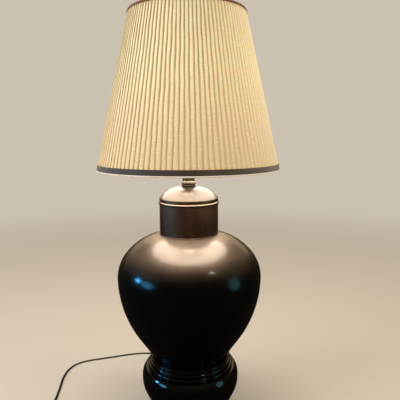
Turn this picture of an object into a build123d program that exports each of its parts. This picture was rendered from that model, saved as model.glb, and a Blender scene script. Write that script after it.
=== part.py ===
from build123d import *
from math import asin, cos, degrees, hypot, pi, radians, sin, sqrt, tan
import os

# A ginger jar table lamp: a spun metal jar on a turned, lacquered wooden base,
# with a domed lid, a spool neck, and a pleated empire shade held up by a harp.
# Millimetres. The Z axis is the lamp's own axis and z = 0 is the felt's underside.
# -Y is the front, and the cord leaves at the back, on the +Y side.

os.makedirs("parts", exist_ok=True)

# ---------------------------------------------------------------- clearances
close_fit = 0.05         # radial, between pieces that are clamped together
running_fit = 0.08       # radial, between pieces that turn on each other
loose_fit = 0.3          # where one piece only stands inside another
seat_gap = 0.1           # between a round edge and what it rests on
cut_past = 1.0           # how far a cut runs out past the piece it cuts
wire_gap = 0.2           # between a bent wire and the sheet beside it

# ---------------------------------------------------------------- threaded stack
pipe_r = 4.85
pipe_bore_r = 3.5
washer_r = 19.0
washer_t = 1.6
nut_flats = 16.0
nut_h = 4.0
pipe_stub = 2.5          # the pipe's end stands out of the lower nut

# ---------------------------------------------------------------- turned base
felt_t = 2.0
felt_inset = 3.0
foot_r = 84.0
foot_h = 11.0
foot_round = 3.0
quirk_h = 3.0
quirk_depth = 1.5
bulge_r = 101.5
bulge_arc_r = 118.7
bulge_below = 68.0
bulge_above = 24.0
low_ridge_r = 95.5
low_ridge_h = 7.5
middle_ridge_r = 88.8
middle_ridge_h = 6.0
high_ridge_r = 85.2
high_ridge_h = 5.5
ridge_depth = 2.4
ridge_gap = 1.5
collar_r = 82.0
collar_h = 6.5
collar_round = 2.0
jar_seat_depth = 6.0
recess_r = 62.0
recess_h = 38.0

# ---------------------------------------------------------------- jar, neck and lid
jar_foot_r = 70.4
jar_flare = 34.0         # degrees from upright, the straight run above the foot
jar_run = 67.5
belly_r = 222.0
belly_turn = 32.5        # degrees, as the two turns below
widest_r = 76.0
widest_turn = 40.0
shoulder_r = 110.4
shoulder_turn = 43.5
jar_wall = 1.2
shoulder_lip = 3.0
neck_r = 59.0
neck_h = 62.0
neck_wall = 1.2
neck_bead_r = 0.9
lid_wall = 1.2
lid_bead_r = 2.5
band_h = 8.8
crown_r = 150.0
crown_slope = 10.0       # degrees, where the flat crown meets the rounder shoulder
brim_slope = 56.0        # degrees, where the dome meets the band
seat_margin = 0.75
band_ease = 0.4
skirt_drop = 13.0
skirt_wall = 1.1

# ---------------------------------------------------------------- ring and spool neck
ring_r = 14.75
ring_h = 8.0
ring_round = 2.4
spool_r = 12.9
spool_waist_r = 11.9
spool_h = 25.4
spool_lip_h = 2.2

# ---------------------------------------------------------------- harp
saddle_t = 1.4
saddle_w = 12.0
saddle_half = 24.1       # axis to the middle of an upright ear
saddle_flat_half = 18.0
saddle_bend_r = 2.5
saddle_rise = 8.5
ear_w = 5.0
ear_h = 11.0
wire_r = 2.0
harp_h = 279.4           # saddle to the shade's seat
harp_foot_h = 38.0
harp_belly_half = 60.0
harp_belly_z = 118.0
harp_head_half = 46.0
harp_foot_bend = 50.0
harp_belly_bend = 150.0
harp_head_bend = 34.0
sleeve_bore_r = 4.1
sleeve_wall = 0.7
sleeve_h = 12.0
stud_body_r = 6.5
stud_body_h = 5.5
stud_flange_r = 10.0
stud_flange_t = 1.5
stud_r = 3.1
stud_h = 14.0

# ---------------------------------------------------------------- socket and bulb
socket_r = 16.2
shell_wall = 0.5
cap_wall = 0.7
cap_hub_r = 7.6
cap_hub_h = 8.0
cap_bowl_h = 9.0
cap_rim_h = 7.0
cap_root_r = 2.0
cap_corner_r = 4.0
shell_h = 46.0
shell_bead_r = 0.45
insulator_wall = 0.6
body_r = 13.6
body_h = 25.0
body_sink = 1.5          # depth of the body's underside in the cap's bowl
key_height = 18.0        # switch key's axis above the socket body's underside
screw_shell_wall = 0.5
screw_shell_h = 22.0
contact_t = 0.6
terminal_r = 2.8
terminal_h = 1.6
terminal_up = 2.0        # screw head's edge above the body's underside
setscrew_r = 1.6
setscrew_out = 2.2
bulb_cap_r = 12.9
bulb_cap_wall = 0.5
bulb_cap_h = 24.0
bulb_cap_gap = 0.4       # radial, between the bulb's screw cap and the socket's screw shell
bulb_tip_r = 4.5
bulb_tip_h = 2.0
bulb_r = 30.0
bulb_neck_r = 13.4
bulb_neck_h = 8.0
bulb_flare = 42.0        # degrees, where the neck runs into the globe
glass_t = 0.8

# ---------------------------------------------------------------- switch key
stem_r = 2.0
stem_in = 9.0            # depth of the stem in the socket body
stem_out = 9.0           # stem that stands out of the shell
key_hub_r = 5.2
key_hub_h = 5.0
key_paddle_w = 19.0
key_paddle_t = 5.6
key_paddle_h = 10.0
key_bore_h = 7.0

# ---------------------------------------------------------------- shade
shade_bottom_r = 180.0
shade_top_r = 113.3
shade_h = 297.7
fitter_drop = 12.7       # the hub lies this far below the shade's top edge
trim_h = 11.5
top_trim_h = 6.0
trim_t = 0.7
trim_gap = 0.15
trim_overhang = 1.0
pleats = 111
pleat_depth = 2.4
pleat_fold = 0.14        # share of a pleat that is the steep side of its fold
liner_inset = 3.9        # radial, from the trim's face to the liner's
liner_t = 1.0
liner_gap = 0.1
frame_wire_r = 1.6
frame_inset = 3.0        # the wire rings lie this far inside the shade's two edges
hub_r = 11.0
hub_t = 1.6
hub_hole_r = 3.6
arm_flat = 26.0
arm_bend = 15.0
edge_bead_r = 0.8
edge_inset = 2.4

# ---------------------------------------------------------------- finial
finial_flange_r = 7.5
finial_flange_h = 2.0
finial_waist_r = 4.6
finial_waist_h = 4.5
finial_ball_r = 9.0
finial_tip_r = 2.6
finial_tip_h = 4.0

# ---------------------------------------------------------------- cord and plug
cord_r = 2.65
cord_bore_gap = 0.1
bushing_r = 4.2
bushing_collar_r = 4.9
bushing_collar_t = 3.5
bushing_nose_r = 4.6
bushing_tip_r = 3.5
inner_bend_r = 17.0
coil_pitch = 5.9
coil_outer_r = 37.75
coil_turns_down = 5      # half turns on the lower layer
coil_tail = 18.0
tie_w = 7.0
tie_wall = 0.7
tie_gap = 0.25
plug_tip_w = 12.0
plug_tip_t = 10.0
plug_taper = 11.0
plug_w = 25.0
plug_t = 19.0
plug_h = 22.0
blade_t = 1.5
blade_w = 6.4
blade_h = 17.0
blade_apart = 12.7
# Route of the cord's free stretch, from the bushing's tip to the coil.
cord_route = [
    (0.0, 108.0, 7.5),
    (0.0, 131.0, 7.5),
    (-4.0, 155.0, 3.4),
    (-13.0, 180.0, 2.7),
    (-30.0, 206.0, 2.7),
    (-56.0, 230.0, 2.7),
    (-88.0, 254.0, 2.7),
    (-126.0, 262.0, 2.7),
    (-167.0, 255.5, 2.7),
    (-208.0, 242.0, 2.7),
    (-248.0, 230.0, 2.7),
    (-283.0, 219.0, 2.7),
    (-307.0, 200.0, 2.7),
    (-317.0, 170.0, 2.7),
    (-318.0, 136.0, 2.7),
    (-313.0, 101.0, 2.7),
    (-309.0, 66.0, 2.7),
    (-307.0, 31.0, 2.7),
    (-306.0, -2.0, 3.1),
    (-306.0, -29.0, 3.65),
    (-306.0, -56.0, 3.65),
]

# ---------------------------------------------------------------- felt pad
base_z = felt_t
foot_top_z = base_z + foot_h

with BuildPart() as felt_pad:
    with BuildSketch():
        Circle(foot_r - felt_inset)
    extrude(amount=felt_t)
felt_pad.part.label = "felt_pad"
export_step(felt_pad.part, "parts/felt_pad.step")

# ---------------------------------------------------------------- turned base
# One turned piece: a half-round foot, a quirk, the long bulge, three stepped
# half-round ridges and a collar that takes the jar's foot.
bulge_low_z = foot_top_z + quirk_h
bulge_z = bulge_low_z + bulge_below
bulge_top_z = bulge_z + bulge_above
recess_z = base_z + recess_h
cord_exit_z = base_z + foot_h / 2
collar_seat_y = foot_r - foot_round
stack_bore_r = pipe_r + loose_fit


def bulge_at(z):
    """Radius of the bulge at height z."""
    return bulge_r - bulge_arc_r + sqrt(bulge_arc_r**2 - (z - bulge_z) ** 2)


bulge_low_r = bulge_at(bulge_low_z)
bulge_top_r = bulge_at(bulge_top_z)
quirk_r = bulge_low_r - quirk_depth
ridges = [
    (low_ridge_r, low_ridge_h),
    (middle_ridge_r, middle_ridge_h),
    (high_ridge_r, high_ridge_h),
]
ridges_top_z = bulge_top_z + sum(ridge_h + ridge_gap for ridge_r, ridge_h in ridges)
base_top_z = ridges_top_z + collar_h
jar_seat_z = base_top_z - jar_seat_depth
jar_mouth_r = jar_foot_r + jar_seat_depth * tan(radians(jar_flare)) + loose_fit * 2

with BuildPart() as turned_base:
    with BuildSketch(Plane.XZ):
        with BuildLine():
            Polyline(
                (stack_bore_r, recess_z),
                (recess_r, recess_z),
                (recess_r, base_z),
                (foot_r - foot_round, base_z),
            )
            ThreePointArc(
                (foot_r - foot_round, base_z),
                (foot_r, cord_exit_z),
                (foot_r - foot_round, foot_top_z),
            )
            Polyline(
                (foot_r - foot_round, foot_top_z),
                (quirk_r, foot_top_z),
                (quirk_r, bulge_low_z),
                (bulge_low_r, bulge_low_z),
            )
            ThreePointArc(
                (bulge_low_r, bulge_low_z),
                (bulge_r, bulge_z),
                (bulge_top_r, bulge_top_z),
            )
            last_r = bulge_top_r
            ridge_z = bulge_top_z
            for ridge_r, ridge_h in ridges:
                root_r = ridge_r - ridge_depth
                low_z = ridge_z + ridge_gap
                Polyline((last_r, ridge_z), (root_r, ridge_z), (root_r, low_z))
                ThreePointArc(
                    (root_r, low_z),
                    (ridge_r, low_z + ridge_h / 2),
                    (root_r, low_z + ridge_h),
                )
                last_r = root_r
                ridge_z = low_z + ridge_h
            Polyline(
                (last_r, ridge_z),
                (collar_r, ridge_z),
                (collar_r, base_top_z - collar_round),
            )
            RadiusArc(
                (collar_r, base_top_z - collar_round),
                (collar_r - collar_round, base_top_z),
                -collar_round,
            )
            Polyline(
                (collar_r - collar_round, base_top_z),
                (jar_mouth_r, base_top_z),
                (jar_mouth_r, jar_seat_z),
                (stack_bore_r, jar_seat_z),
                (stack_bore_r, recess_z),
            )
        make_face()
    revolve(axis=Axis.Z)
    # the cord's way out, through the middle of the foot at the back
    with BuildSketch(Plane(origin=(0, 0, cord_exit_z), z_dir=(0, 1, 0))):
        Circle(bushing_r + close_fit)
    extrude(amount=foot_r + foot_round, mode=Mode.SUBTRACT)
    with BuildSketch(Plane(origin=(0, collar_seat_y, cord_exit_z), z_dir=(0, 1, 0))):
        Circle(bushing_collar_r + close_fit)
    extrude(amount=foot_r, mode=Mode.SUBTRACT)
turned_base.part.label = "turned_base"
export_step(turned_base.part, "parts/turned_base.step")

# ---------------------------------------------------------------- jar body
# A spun shell of even wall: a flat bottom with a hole for the pipe, a straight
# flare, a long belly arc and a rounder shoulder that ends under the neck.
flare = radians(jar_flare)
flare_out = (sin(flare), cos(flare))
jar_arcs = [(belly_r, belly_turn), (widest_r, widest_turn), (shoulder_r, shoulder_turn)]


def jar_side(inset):
    """Draw the jar's side, set in by inset from its face, and return its top end."""
    foot = Vector(jar_foot_r, jar_seat_z)
    run_end = foot + Vector(*flare_out) * jar_run
    normal = Vector(-cos(flare), sin(flare)) * inset
    bottom_z = jar_seat_z + inset
    bottom_r = jar_foot_r + inset * tan(flare) - inset / cos(flare)
    side = Line((bottom_r, bottom_z), (run_end.X + normal.X, run_end.Y + normal.Y))
    for arc_r, arc_turn in jar_arcs:
        side = JernArc(side @ 1, side % 1, arc_r - inset, arc_turn)
    return side @ 1


with BuildPart() as jar_body:
    with BuildSketch(Plane.XZ):
        with BuildLine():
            outer_end = jar_side(0)
            inner_end = jar_side(jar_wall)
            shoulder_z = outer_end.Y
            lip_r = neck_r - shoulder_lip
            Polyline(
                (stack_bore_r, jar_seat_z + jar_wall),
                (stack_bore_r, jar_seat_z),
                (jar_foot_r, jar_seat_z),
            )
            Line(
                (stack_bore_r, jar_seat_z + jar_wall),
                (jar_foot_r + jar_wall * tan(flare) - jar_wall / cos(flare), jar_seat_z + jar_wall),
            )
            Polyline((outer_end.X, shoulder_z), (lip_r, shoulder_z), (lip_r, inner_end.Y))
            Line((lip_r, inner_end.Y), (inner_end.X, inner_end.Y))
        make_face()
    revolve(axis=Axis.Z)
jar_body.part.label = "jar_body"
export_step(jar_body.part, "parts/jar_body.step")

# ---------------------------------------------------------------- jar neck
# A plain tube that stands on the shoulder, with a fine bead round its foot.
neck_top_z = shoulder_z + neck_h

with BuildPart() as jar_neck:
    with BuildSketch(Plane.XZ):
        with Locations((neck_r - neck_wall / 2, shoulder_z + neck_h / 2)):
            Rectangle(neck_wall, neck_h)
        with Locations((neck_r, shoulder_z + neck_bead_r)):
            Circle(neck_bead_r)
    revolve(axis=Axis.Z)
jar_neck.part.label = "jar_neck"
export_step(jar_neck.part, "parts/jar_neck.step")

# ---------------------------------------------------------------- lid
# Spun in one: a flat seat for the ring, a low crown, a rounder brim, a short
# band, a rolled bead that sits on the neck's edge, and a skirt inside the neck.
bead_z = neck_top_z + lid_bead_r + seat_gap
band_top_z = bead_z + band_h
seat_r = ring_r + seat_margin
seat_slope = asin(seat_r / crown_r)
crown_end_r = crown_r * sin(radians(crown_slope))
crown_drop = crown_r * (cos(seat_slope) - cos(radians(crown_slope)))
brim_arc_r = (neck_r - crown_end_r) / (sin(radians(brim_slope)) - sin(radians(crown_slope)))
brim_drop = brim_arc_r * (cos(radians(crown_slope)) - cos(radians(brim_slope)))
lid_top_z = band_top_z + crown_drop + brim_drop


def lid_side(inset):
    """Draw the lid's dome and band, set in by inset from its face."""
    start_r = (crown_r - inset) * sin(seat_slope)
    start_z = lid_top_z - inset * cos(seat_slope)
    crown = JernArc(
        (start_r, start_z),
        (cos(seat_slope), -sin(seat_slope)),
        crown_r - inset,
        -(crown_slope - degrees(seat_slope)),
    )
    brim = JernArc(crown @ 1, crown % 1, brim_arc_r - inset, -(brim_slope - crown_slope))
    brim_end = brim @ 1
    Polyline(
        (brim_end.X, brim_end.Y),
        (neck_r - inset, brim_end.Y - band_ease),
        (neck_r - inset, bead_z),
    )
    return start_r, start_z


with BuildPart() as lid:
    with BuildSketch(Plane.XZ):
        with BuildLine():
            lid_side(0)
            inner_r, inner_z = lid_side(lid_wall)
            Polyline(
                (seat_r, lid_top_z),
                (stack_bore_r, lid_top_z),
                (stack_bore_r, lid_top_z - lid_wall),
                (inner_r, inner_z),
            )
            Line((neck_r, bead_z), (neck_r - lid_wall, bead_z))
        make_face()
        with Locations((neck_r, bead_z)):
            Circle(lid_bead_r)
        # the skirt hangs from the band, clear of the neck's inner face
        skirt_r = neck_r - neck_wall - loose_fit
        skirt_top_z = band_top_z - lid_wall
        skirt_low_z = neck_top_z - skirt_drop
        with Locations((skirt_r - skirt_wall / 2, (skirt_top_z + skirt_low_z) / 2)):
            Rectangle(skirt_wall, skirt_top_z - skirt_low_z)
        shelf_z = bead_z + band_h / 2
        shelf_in_r = skirt_r - skirt_wall
        shelf_w = neck_r - lid_wall / 2 - shelf_in_r
        with Locations((shelf_in_r + shelf_w / 2, (shelf_z + skirt_top_z) / 2)):
            Rectangle(shelf_w, skirt_top_z - shelf_z)
    revolve(axis=Axis.Z)
lid.part.label = "lid"
export_step(lid.part, "parts/lid.step")

# ---------------------------------------------------------------- check ring
ring_top_z = lid_top_z + ring_h

with BuildPart() as check_ring:
    with BuildSketch(Plane.XY.offset(lid_top_z)):
        Circle(ring_r)
        Circle(pipe_r + close_fit, mode=Mode.SUBTRACT)
    extrude(amount=ring_h)
    outer_edges = check_ring.edges().filter_by(GeomType.CIRCLE).group_by(SortBy.RADIUS)[-1]
    fillet(outer_edges, radius=ring_round)
check_ring.part.label = "check_ring"
export_step(check_ring.part, "parts/check_ring.step")

# ---------------------------------------------------------------- spool neck
spool_top_z = ring_top_z + spool_h

with BuildPart() as spool_neck:
    with BuildSketch(Plane.XZ):
        with BuildLine():
            Polyline(
                (spool_r, ring_top_z + spool_lip_h),
                (spool_r, ring_top_z),
                (pipe_r + close_fit, ring_top_z),
                (pipe_r + close_fit, spool_top_z),
                (spool_r, spool_top_z),
                (spool_r, spool_top_z - spool_lip_h),
            )
            ThreePointArc(
                (spool_r, ring_top_z + spool_lip_h),
                (spool_waist_r, ring_top_z + spool_h / 2),
                (spool_r, spool_top_z - spool_lip_h),
            )
        make_face()
    revolve(axis=Axis.Z)
spool_neck.part.label = "spool_neck"
export_step(spool_neck.part, "parts/spool_neck.step")

# ---------------------------------------------------------------- lamp pipe, washer and nuts
# One threaded tube runs from the base's recess to the socket's cap, and its
# two nuts clamp base, jar, lid, ring and spool neck together.
saddle_z = spool_top_z + nut_h
socket_z = saddle_z + saddle_t
pipe_low_z = recess_z - washer_t - nut_h - pipe_stub
pipe_top_z = socket_z + cap_hub_h

with BuildPart() as lamp_pipe:
    with BuildSketch(Plane.XY.offset(pipe_low_z)):
        Circle(pipe_r)
        Circle(pipe_bore_r, mode=Mode.SUBTRACT)
    extrude(amount=pipe_top_z - pipe_low_z)
lamp_pipe.part.label = "lamp_pipe"
export_step(lamp_pipe.part, "parts/lamp_pipe.step")

with BuildPart() as base_washer:
    with BuildSketch(Plane.XY.offset(recess_z - washer_t)):
        Circle(washer_r)
        Circle(pipe_r + close_fit, mode=Mode.SUBTRACT)
    extrude(amount=washer_t)
base_washer.part.label = "base_washer"
export_step(base_washer.part, "parts/base_washer.step")

with BuildPart() as base_locknut:
    with BuildSketch(Plane.XY.offset(recess_z - washer_t - nut_h)):
        RegularPolygon(nut_flats / 2, 6, major_radius=False)
        Circle(pipe_r + close_fit, mode=Mode.SUBTRACT)
    extrude(amount=nut_h)
base_locknut.part.label = "base_locknut"
export_step(base_locknut.part, "parts/base_locknut.step")

with BuildPart() as neck_locknut:
    with BuildSketch(Plane.XY.offset(spool_top_z)):
        RegularPolygon(nut_flats / 2, 6, major_radius=False)
        Circle(pipe_r + close_fit, mode=Mode.SUBTRACT)
    extrude(amount=nut_h)
neck_locknut.part.label = "neck_locknut"
export_step(neck_locknut.part, "parts/neck_locknut.step")

# ---------------------------------------------------------------- harp saddle
# A steel strip bent up at both ends. Each end narrows to an ear, and the
# shoulders beside the ear stop the sleeve.
shoulder_stop_z = socket_z + saddle_rise

with BuildPart() as harp_saddle:
    middle_z = saddle_z + saddle_t / 2
    with BuildLine(Plane.XZ) as saddle_path:
        FilletPolyline(
            (-saddle_half, shoulder_stop_z),
            (-saddle_half, middle_z + saddle_rise / 2),
            (-saddle_flat_half, middle_z),
            (saddle_flat_half, middle_z),
            (saddle_half, middle_z + saddle_rise / 2),
            (saddle_half, shoulder_stop_z),
            radius=saddle_bend_r,
        )
    with BuildSketch(Plane(origin=saddle_path.line @ 0, x_dir=(0, 1, 0), z_dir=saddle_path.line % 0)):
        Rectangle(saddle_w, saddle_t)
    sweep()
    with BuildSketch(Plane.XY.offset(shoulder_stop_z)):
        with Locations((saddle_half, 0), (-saddle_half, 0)):
            Rectangle(saddle_t, ear_w)
    extrude(amount=ear_h)
    with BuildSketch(Plane.XY.offset(saddle_z - saddle_t)):
        Circle(pipe_r + close_fit)
    extrude(amount=3 * saddle_t, mode=Mode.SUBTRACT)
harp_saddle.part.label = "harp_saddle"
export_step(harp_saddle.part, "parts/harp_saddle.step")

# ---------------------------------------------------------------- harp
# One spring steel wire, bent into a loop round the bulb. Its feet stand beside
# the saddle's ears, and its straight top run carries the stud.
wire_half = saddle_half + saddle_t / 2 + wire_gap + wire_r
wire_low_z = shoulder_stop_z - saddle_t
shade_seat_z = socket_z + harp_h
wire_top_z = shade_seat_z - stud_flange_t - stud_body_h

with BuildPart() as harp_wire:
    harp_side = [
        (wire_half, wire_low_z),
        (wire_half, wire_low_z + harp_foot_h),
        (harp_belly_half, socket_z + harp_belly_z),
        (harp_head_half, wire_top_z),
    ]
    harp_bends = [harp_foot_bend, harp_belly_bend, harp_head_bend]
    with BuildLine(Plane.XZ) as harp_path:
        FilletPolyline(
            [(-x, z) for x, z in harp_side] + harp_side[::-1],
            radius=harp_bends + harp_bends[::-1],
        )
    with BuildSketch(Plane(origin=harp_path.line @ 0, z_dir=harp_path.line % 0)):
        Circle(wire_r)
    sweep()
harp_wire.part.label = "harp_wire"
export_step(harp_wire.part, "parts/harp_wire.step")

# ---------------------------------------------------------------- harp sleeves
sleeve_half = (saddle_half - saddle_t / 2 + wire_half + wire_r) / 2
sleeve_low_z = shoulder_stop_z + loose_fit


def harp_sleeve(side):
    """Locking sleeve over a harp foot and its ear, at x = side times the half gap."""
    with BuildPart() as sleeve:
        with BuildSketch(Plane.XY.offset(sleeve_low_z)):
            with Locations((side * sleeve_half, 0)):
                Circle(sleeve_bore_r + sleeve_wall)
                Circle(sleeve_bore_r, mode=Mode.SUBTRACT)
        extrude(amount=sleeve_h)
    return sleeve


harp_sleeve_left = harp_sleeve(-1)
harp_sleeve_left.part.label = "harp_sleeve_left"
export_step(harp_sleeve_left.part, "parts/harp_sleeve_left.step")
harp_sleeve_right = harp_sleeve(1)
harp_sleeve_right.part.label = "harp_sleeve_right"
export_step(harp_sleeve_right.part, "parts/harp_sleeve_right.step")

# ---------------------------------------------------------------- harp stud
# A turned stud that straddles the wire, with a flange for the shade's hub.
with BuildPart() as harp_stud:
    with BuildSketch(Plane.XY.offset(wire_top_z)):
        Circle(stud_body_r)
    extrude(amount=stud_body_h)
    with BuildSketch(Plane.XY.offset(shade_seat_z - stud_flange_t)):
        Circle(stud_flange_r)
    extrude(amount=stud_flange_t)
    with BuildSketch(Plane.XY.offset(shade_seat_z)):
        Circle(stud_r)
    extrude(amount=stud_h)
    with BuildSketch(Plane(origin=(-stud_flange_r, 0, wire_top_z), z_dir=(1, 0, 0))):
        Circle(wire_r + close_fit)
    extrude(amount=2 * stud_flange_r, mode=Mode.SUBTRACT)
harp_stud.part.label = "harp_stud"
export_step(harp_stud.part, "parts/harp_stud.step")

# ---------------------------------------------------------------- socket cap
cap_r = socket_r + close_fit + cap_wall
cap_hub_top_z = socket_z + cap_hub_h
cap_bowl_top_z = cap_hub_top_z + cap_bowl_h
cap_rim_z = cap_bowl_top_z + cap_rim_h

with BuildPart() as socket_cap:
    with BuildSketch(Plane.XZ):
        with BuildLine():
            FilletPolyline(
                (pipe_r + close_fit, socket_z),
                (cap_hub_r, socket_z),
                (cap_hub_r, cap_hub_top_z),
                (cap_r, cap_bowl_top_z),
                (cap_r, cap_rim_z),
                radius=[0, cap_root_r, cap_corner_r + cap_wall],
            )
            FilletPolyline(
                (pipe_r + close_fit, cap_hub_top_z + cap_wall),
                (cap_hub_r, cap_hub_top_z + cap_wall),
                (cap_r - cap_wall, cap_bowl_top_z + cap_wall / 2),
                (cap_r - cap_wall, cap_rim_z),
                radius=[cap_root_r, cap_corner_r],
            )
            Line((cap_r, cap_rim_z), (cap_r - cap_wall, cap_rim_z))
            Line(
                (pipe_r + close_fit, socket_z),
                (pipe_r + close_fit, cap_hub_top_z + cap_wall),
            )
        make_face()
    revolve(axis=Axis.Z)
    # threaded hole for the set screw, in the back of the hub
    with BuildSketch(Plane(origin=(0, 0, socket_z + cap_hub_h / 2), z_dir=(0, 1, 0))):
        Circle(setscrew_r + close_fit)
    extrude(amount=cap_hub_r + setscrew_out, mode=Mode.SUBTRACT)
socket_cap.part.label = "socket_cap"
export_step(socket_cap.part, "parts/socket_cap.step")

with BuildPart() as cap_setscrew:
    with BuildSketch(Plane(origin=(0, pipe_r + seat_gap, socket_z + cap_hub_h / 2), z_dir=(0, 1, 0))):
        Circle(setscrew_r)
    extrude(amount=cap_hub_r + setscrew_out - pipe_r)
cap_setscrew.part.label = "cap_setscrew"
export_step(cap_setscrew.part, "parts/cap_setscrew.step")

# ---------------------------------------------------------------- socket body
# The moulded body holds the switch works. Its flats carry the terminal screws.
body_z = cap_bowl_top_z - body_sink
body_top_z = body_z + body_h
key_z = body_z + key_height
flat_half = body_r - terminal_h - loose_fit
terminal_z = body_z + terminal_r + terminal_up
stem_bottom = body_r - stem_in

with BuildPart() as socket_body:
    with BuildSketch(Plane.XY.offset(body_z)):
        Circle(body_r)
        with Locations((flat_half + body_r, 0), (-flat_half - body_r, 0)):
            Rectangle(2 * body_r, 2 * body_r, mode=Mode.SUBTRACT)
    extrude(amount=body_h)
    with BuildSketch(Plane(origin=(0, -stem_bottom, key_z), z_dir=(0, -1, 0))):
        Circle(stem_r + running_fit)
    extrude(amount=body_r, mode=Mode.SUBTRACT)
socket_body.part.label = "socket_body"
export_step(socket_body.part, "parts/socket_body.step")

with BuildPart() as terminal_screws:
    for side in (1, -1):
        with BuildSketch(Plane(origin=(side * flat_half, 0, terminal_z), z_dir=(side, 0, 0))):
            Circle(terminal_r)
        extrude(amount=terminal_h)
terminal_screws.part.label = "terminal_screws"
export_step(terminal_screws.part, "parts/terminal_screws.step")

# ---------------------------------------------------------------- socket shell and insulator
# The shell snaps into the cap. Both tubes have a hole in front for the stem.
shell_z = cap_bowl_top_z + cap_corner_r / 2 + loose_fit
shell_top_z = shell_z + shell_h
insulator_r = socket_r - shell_wall - close_fit
key_hole_r = stem_r + 2.5 * cap_wall

with BuildPart() as socket_shell:
    with BuildSketch(Plane.XZ):
        with Locations((socket_r - shell_wall / 2, shell_z + shell_h / 2)):
            Rectangle(shell_wall, shell_h)
        with Locations((socket_r, shell_top_z - 2 * shell_bead_r)):
            Circle(shell_bead_r)
    revolve(axis=Axis.Z)
    with BuildSketch(Plane(origin=(0, 0, key_z), z_dir=(0, -1, 0))):
        Circle(key_hole_r)
    extrude(amount=2 * socket_r, mode=Mode.SUBTRACT)
socket_shell.part.label = "socket_shell"
export_step(socket_shell.part, "parts/socket_shell.step")

with BuildPart() as socket_insulator:
    with BuildSketch(Plane.XY.offset(shell_z + insulator_wall)):
        Circle(insulator_r)
        Circle(insulator_r - insulator_wall, mode=Mode.SUBTRACT)
    extrude(amount=shell_h - 2 * insulator_wall)
    with BuildSketch(Plane(origin=(0, 0, key_z), z_dir=(0, -1, 0))):
        Circle(key_hole_r)
    extrude(amount=2 * socket_r, mode=Mode.SUBTRACT)
socket_insulator.part.label = "socket_insulator"
export_step(socket_insulator.part, "parts/socket_insulator.step")

# ---------------------------------------------------------------- screw shell and centre contact
screw_shell_r = bulb_cap_r + bulb_cap_gap + screw_shell_wall
contact_top_z = body_top_z + screw_shell_wall + 2 * contact_t
contact_rim_r = bulb_tip_r + 2 * contact_t

with BuildPart() as screw_shell:
    with BuildSketch(Plane.XY.offset(body_top_z)):
        Circle(screw_shell_r)
    extrude(amount=screw_shell_h)
    with BuildSketch(Plane.XY.offset(body_top_z + screw_shell_wall)):
        Circle(screw_shell_r - screw_shell_wall)
    extrude(amount=screw_shell_h, mode=Mode.SUBTRACT)
    with BuildSketch(Plane.XY.offset(body_top_z)):
        Circle(contact_rim_r + contact_t)
    extrude(amount=screw_shell_wall, mode=Mode.SUBTRACT)
screw_shell.part.label = "screw_shell"
export_step(screw_shell.part, "parts/screw_shell.step")

with BuildPart() as centre_contact:
    with BuildSketch(Plane.XY.offset(body_top_z)):
        Circle(contact_rim_r)
    extrude(amount=contact_top_z - body_top_z)
centre_contact.part.label = "centre_contact"
export_step(centre_contact.part, "parts/centre_contact.step")

# ---------------------------------------------------------------- bulb
# A frosted globe whose neck is cemented into a screw cap with a tip contact.
tip_z = contact_top_z + seat_gap
cap_low_z = tip_z + bulb_tip_h
cap_top_z = cap_low_z + bulb_cap_h
flare_angle = radians(bulb_flare)
glass_flare_r = (bulb_r * cos(flare_angle) - bulb_neck_r) / (1 - cos(flare_angle))


def bulb_side(inset):
    """Draw the glass from its neck to its crown, set in by inset from its face."""
    neck = Line((bulb_neck_r - inset, cap_top_z), (bulb_neck_r - inset, cap_top_z + bulb_neck_h))
    flared = JernArc(neck @ 1, (0, 1), glass_flare_r + inset, -bulb_flare)
    globe = JernArc(flared @ 1, flared % 1, bulb_r - inset, bulb_flare + 90)
    return (globe @ 1).Y


with BuildPart() as bulb_glass:
    with BuildSketch(Plane.XZ):
        with BuildLine():
            bulb_top_z = bulb_side(0)
            bulb_inner_z = bulb_side(glass_t)
            Line((0, bulb_inner_z), (0, bulb_top_z))
            Line((bulb_neck_r - glass_t, cap_top_z), (bulb_neck_r, cap_top_z))
        make_face()
    revolve(axis=Axis.Z)
bulb_glass.part.label = "bulb_glass"
export_step(bulb_glass.part, "parts/bulb_glass.step")

with BuildPart() as bulb_cap:
    with BuildSketch(Plane.XY.offset(cap_low_z)):
        Circle(bulb_cap_r)
    extrude(amount=bulb_cap_h)
    with BuildSketch(Plane.XY.offset(cap_low_z + bulb_cap_wall)):
        Circle(bulb_cap_r - bulb_cap_wall)
    extrude(amount=bulb_cap_h, mode=Mode.SUBTRACT)
bulb_cap.part.label = "bulb_cap"
export_step(bulb_cap.part, "parts/bulb_cap.step")

with BuildPart() as bulb_tip:
    with BuildSketch(Plane.XY.offset(tip_z)):
        Circle(bulb_tip_r)
    extrude(amount=bulb_tip_h)
    fillet(bulb_tip.edges().group_by(Axis.Z)[0], radius=bulb_tip_h / 2)
bulb_tip.part.label = "bulb_tip"
export_step(bulb_tip.part, "parts/bulb_tip.step")

# ---------------------------------------------------------------- switch stem and key
key_face = socket_r + stem_out - key_bore_h

with BuildPart() as switch_stem:
    with BuildSketch(Plane(origin=(0, -stem_bottom - seat_gap, key_z), z_dir=(0, -1, 0))):
        Circle(stem_r)
    extrude(amount=socket_r + stem_out - stem_bottom - seat_gap)
switch_stem.part.label = "switch_stem"
export_step(switch_stem.part, "parts/switch_stem.step")

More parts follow.
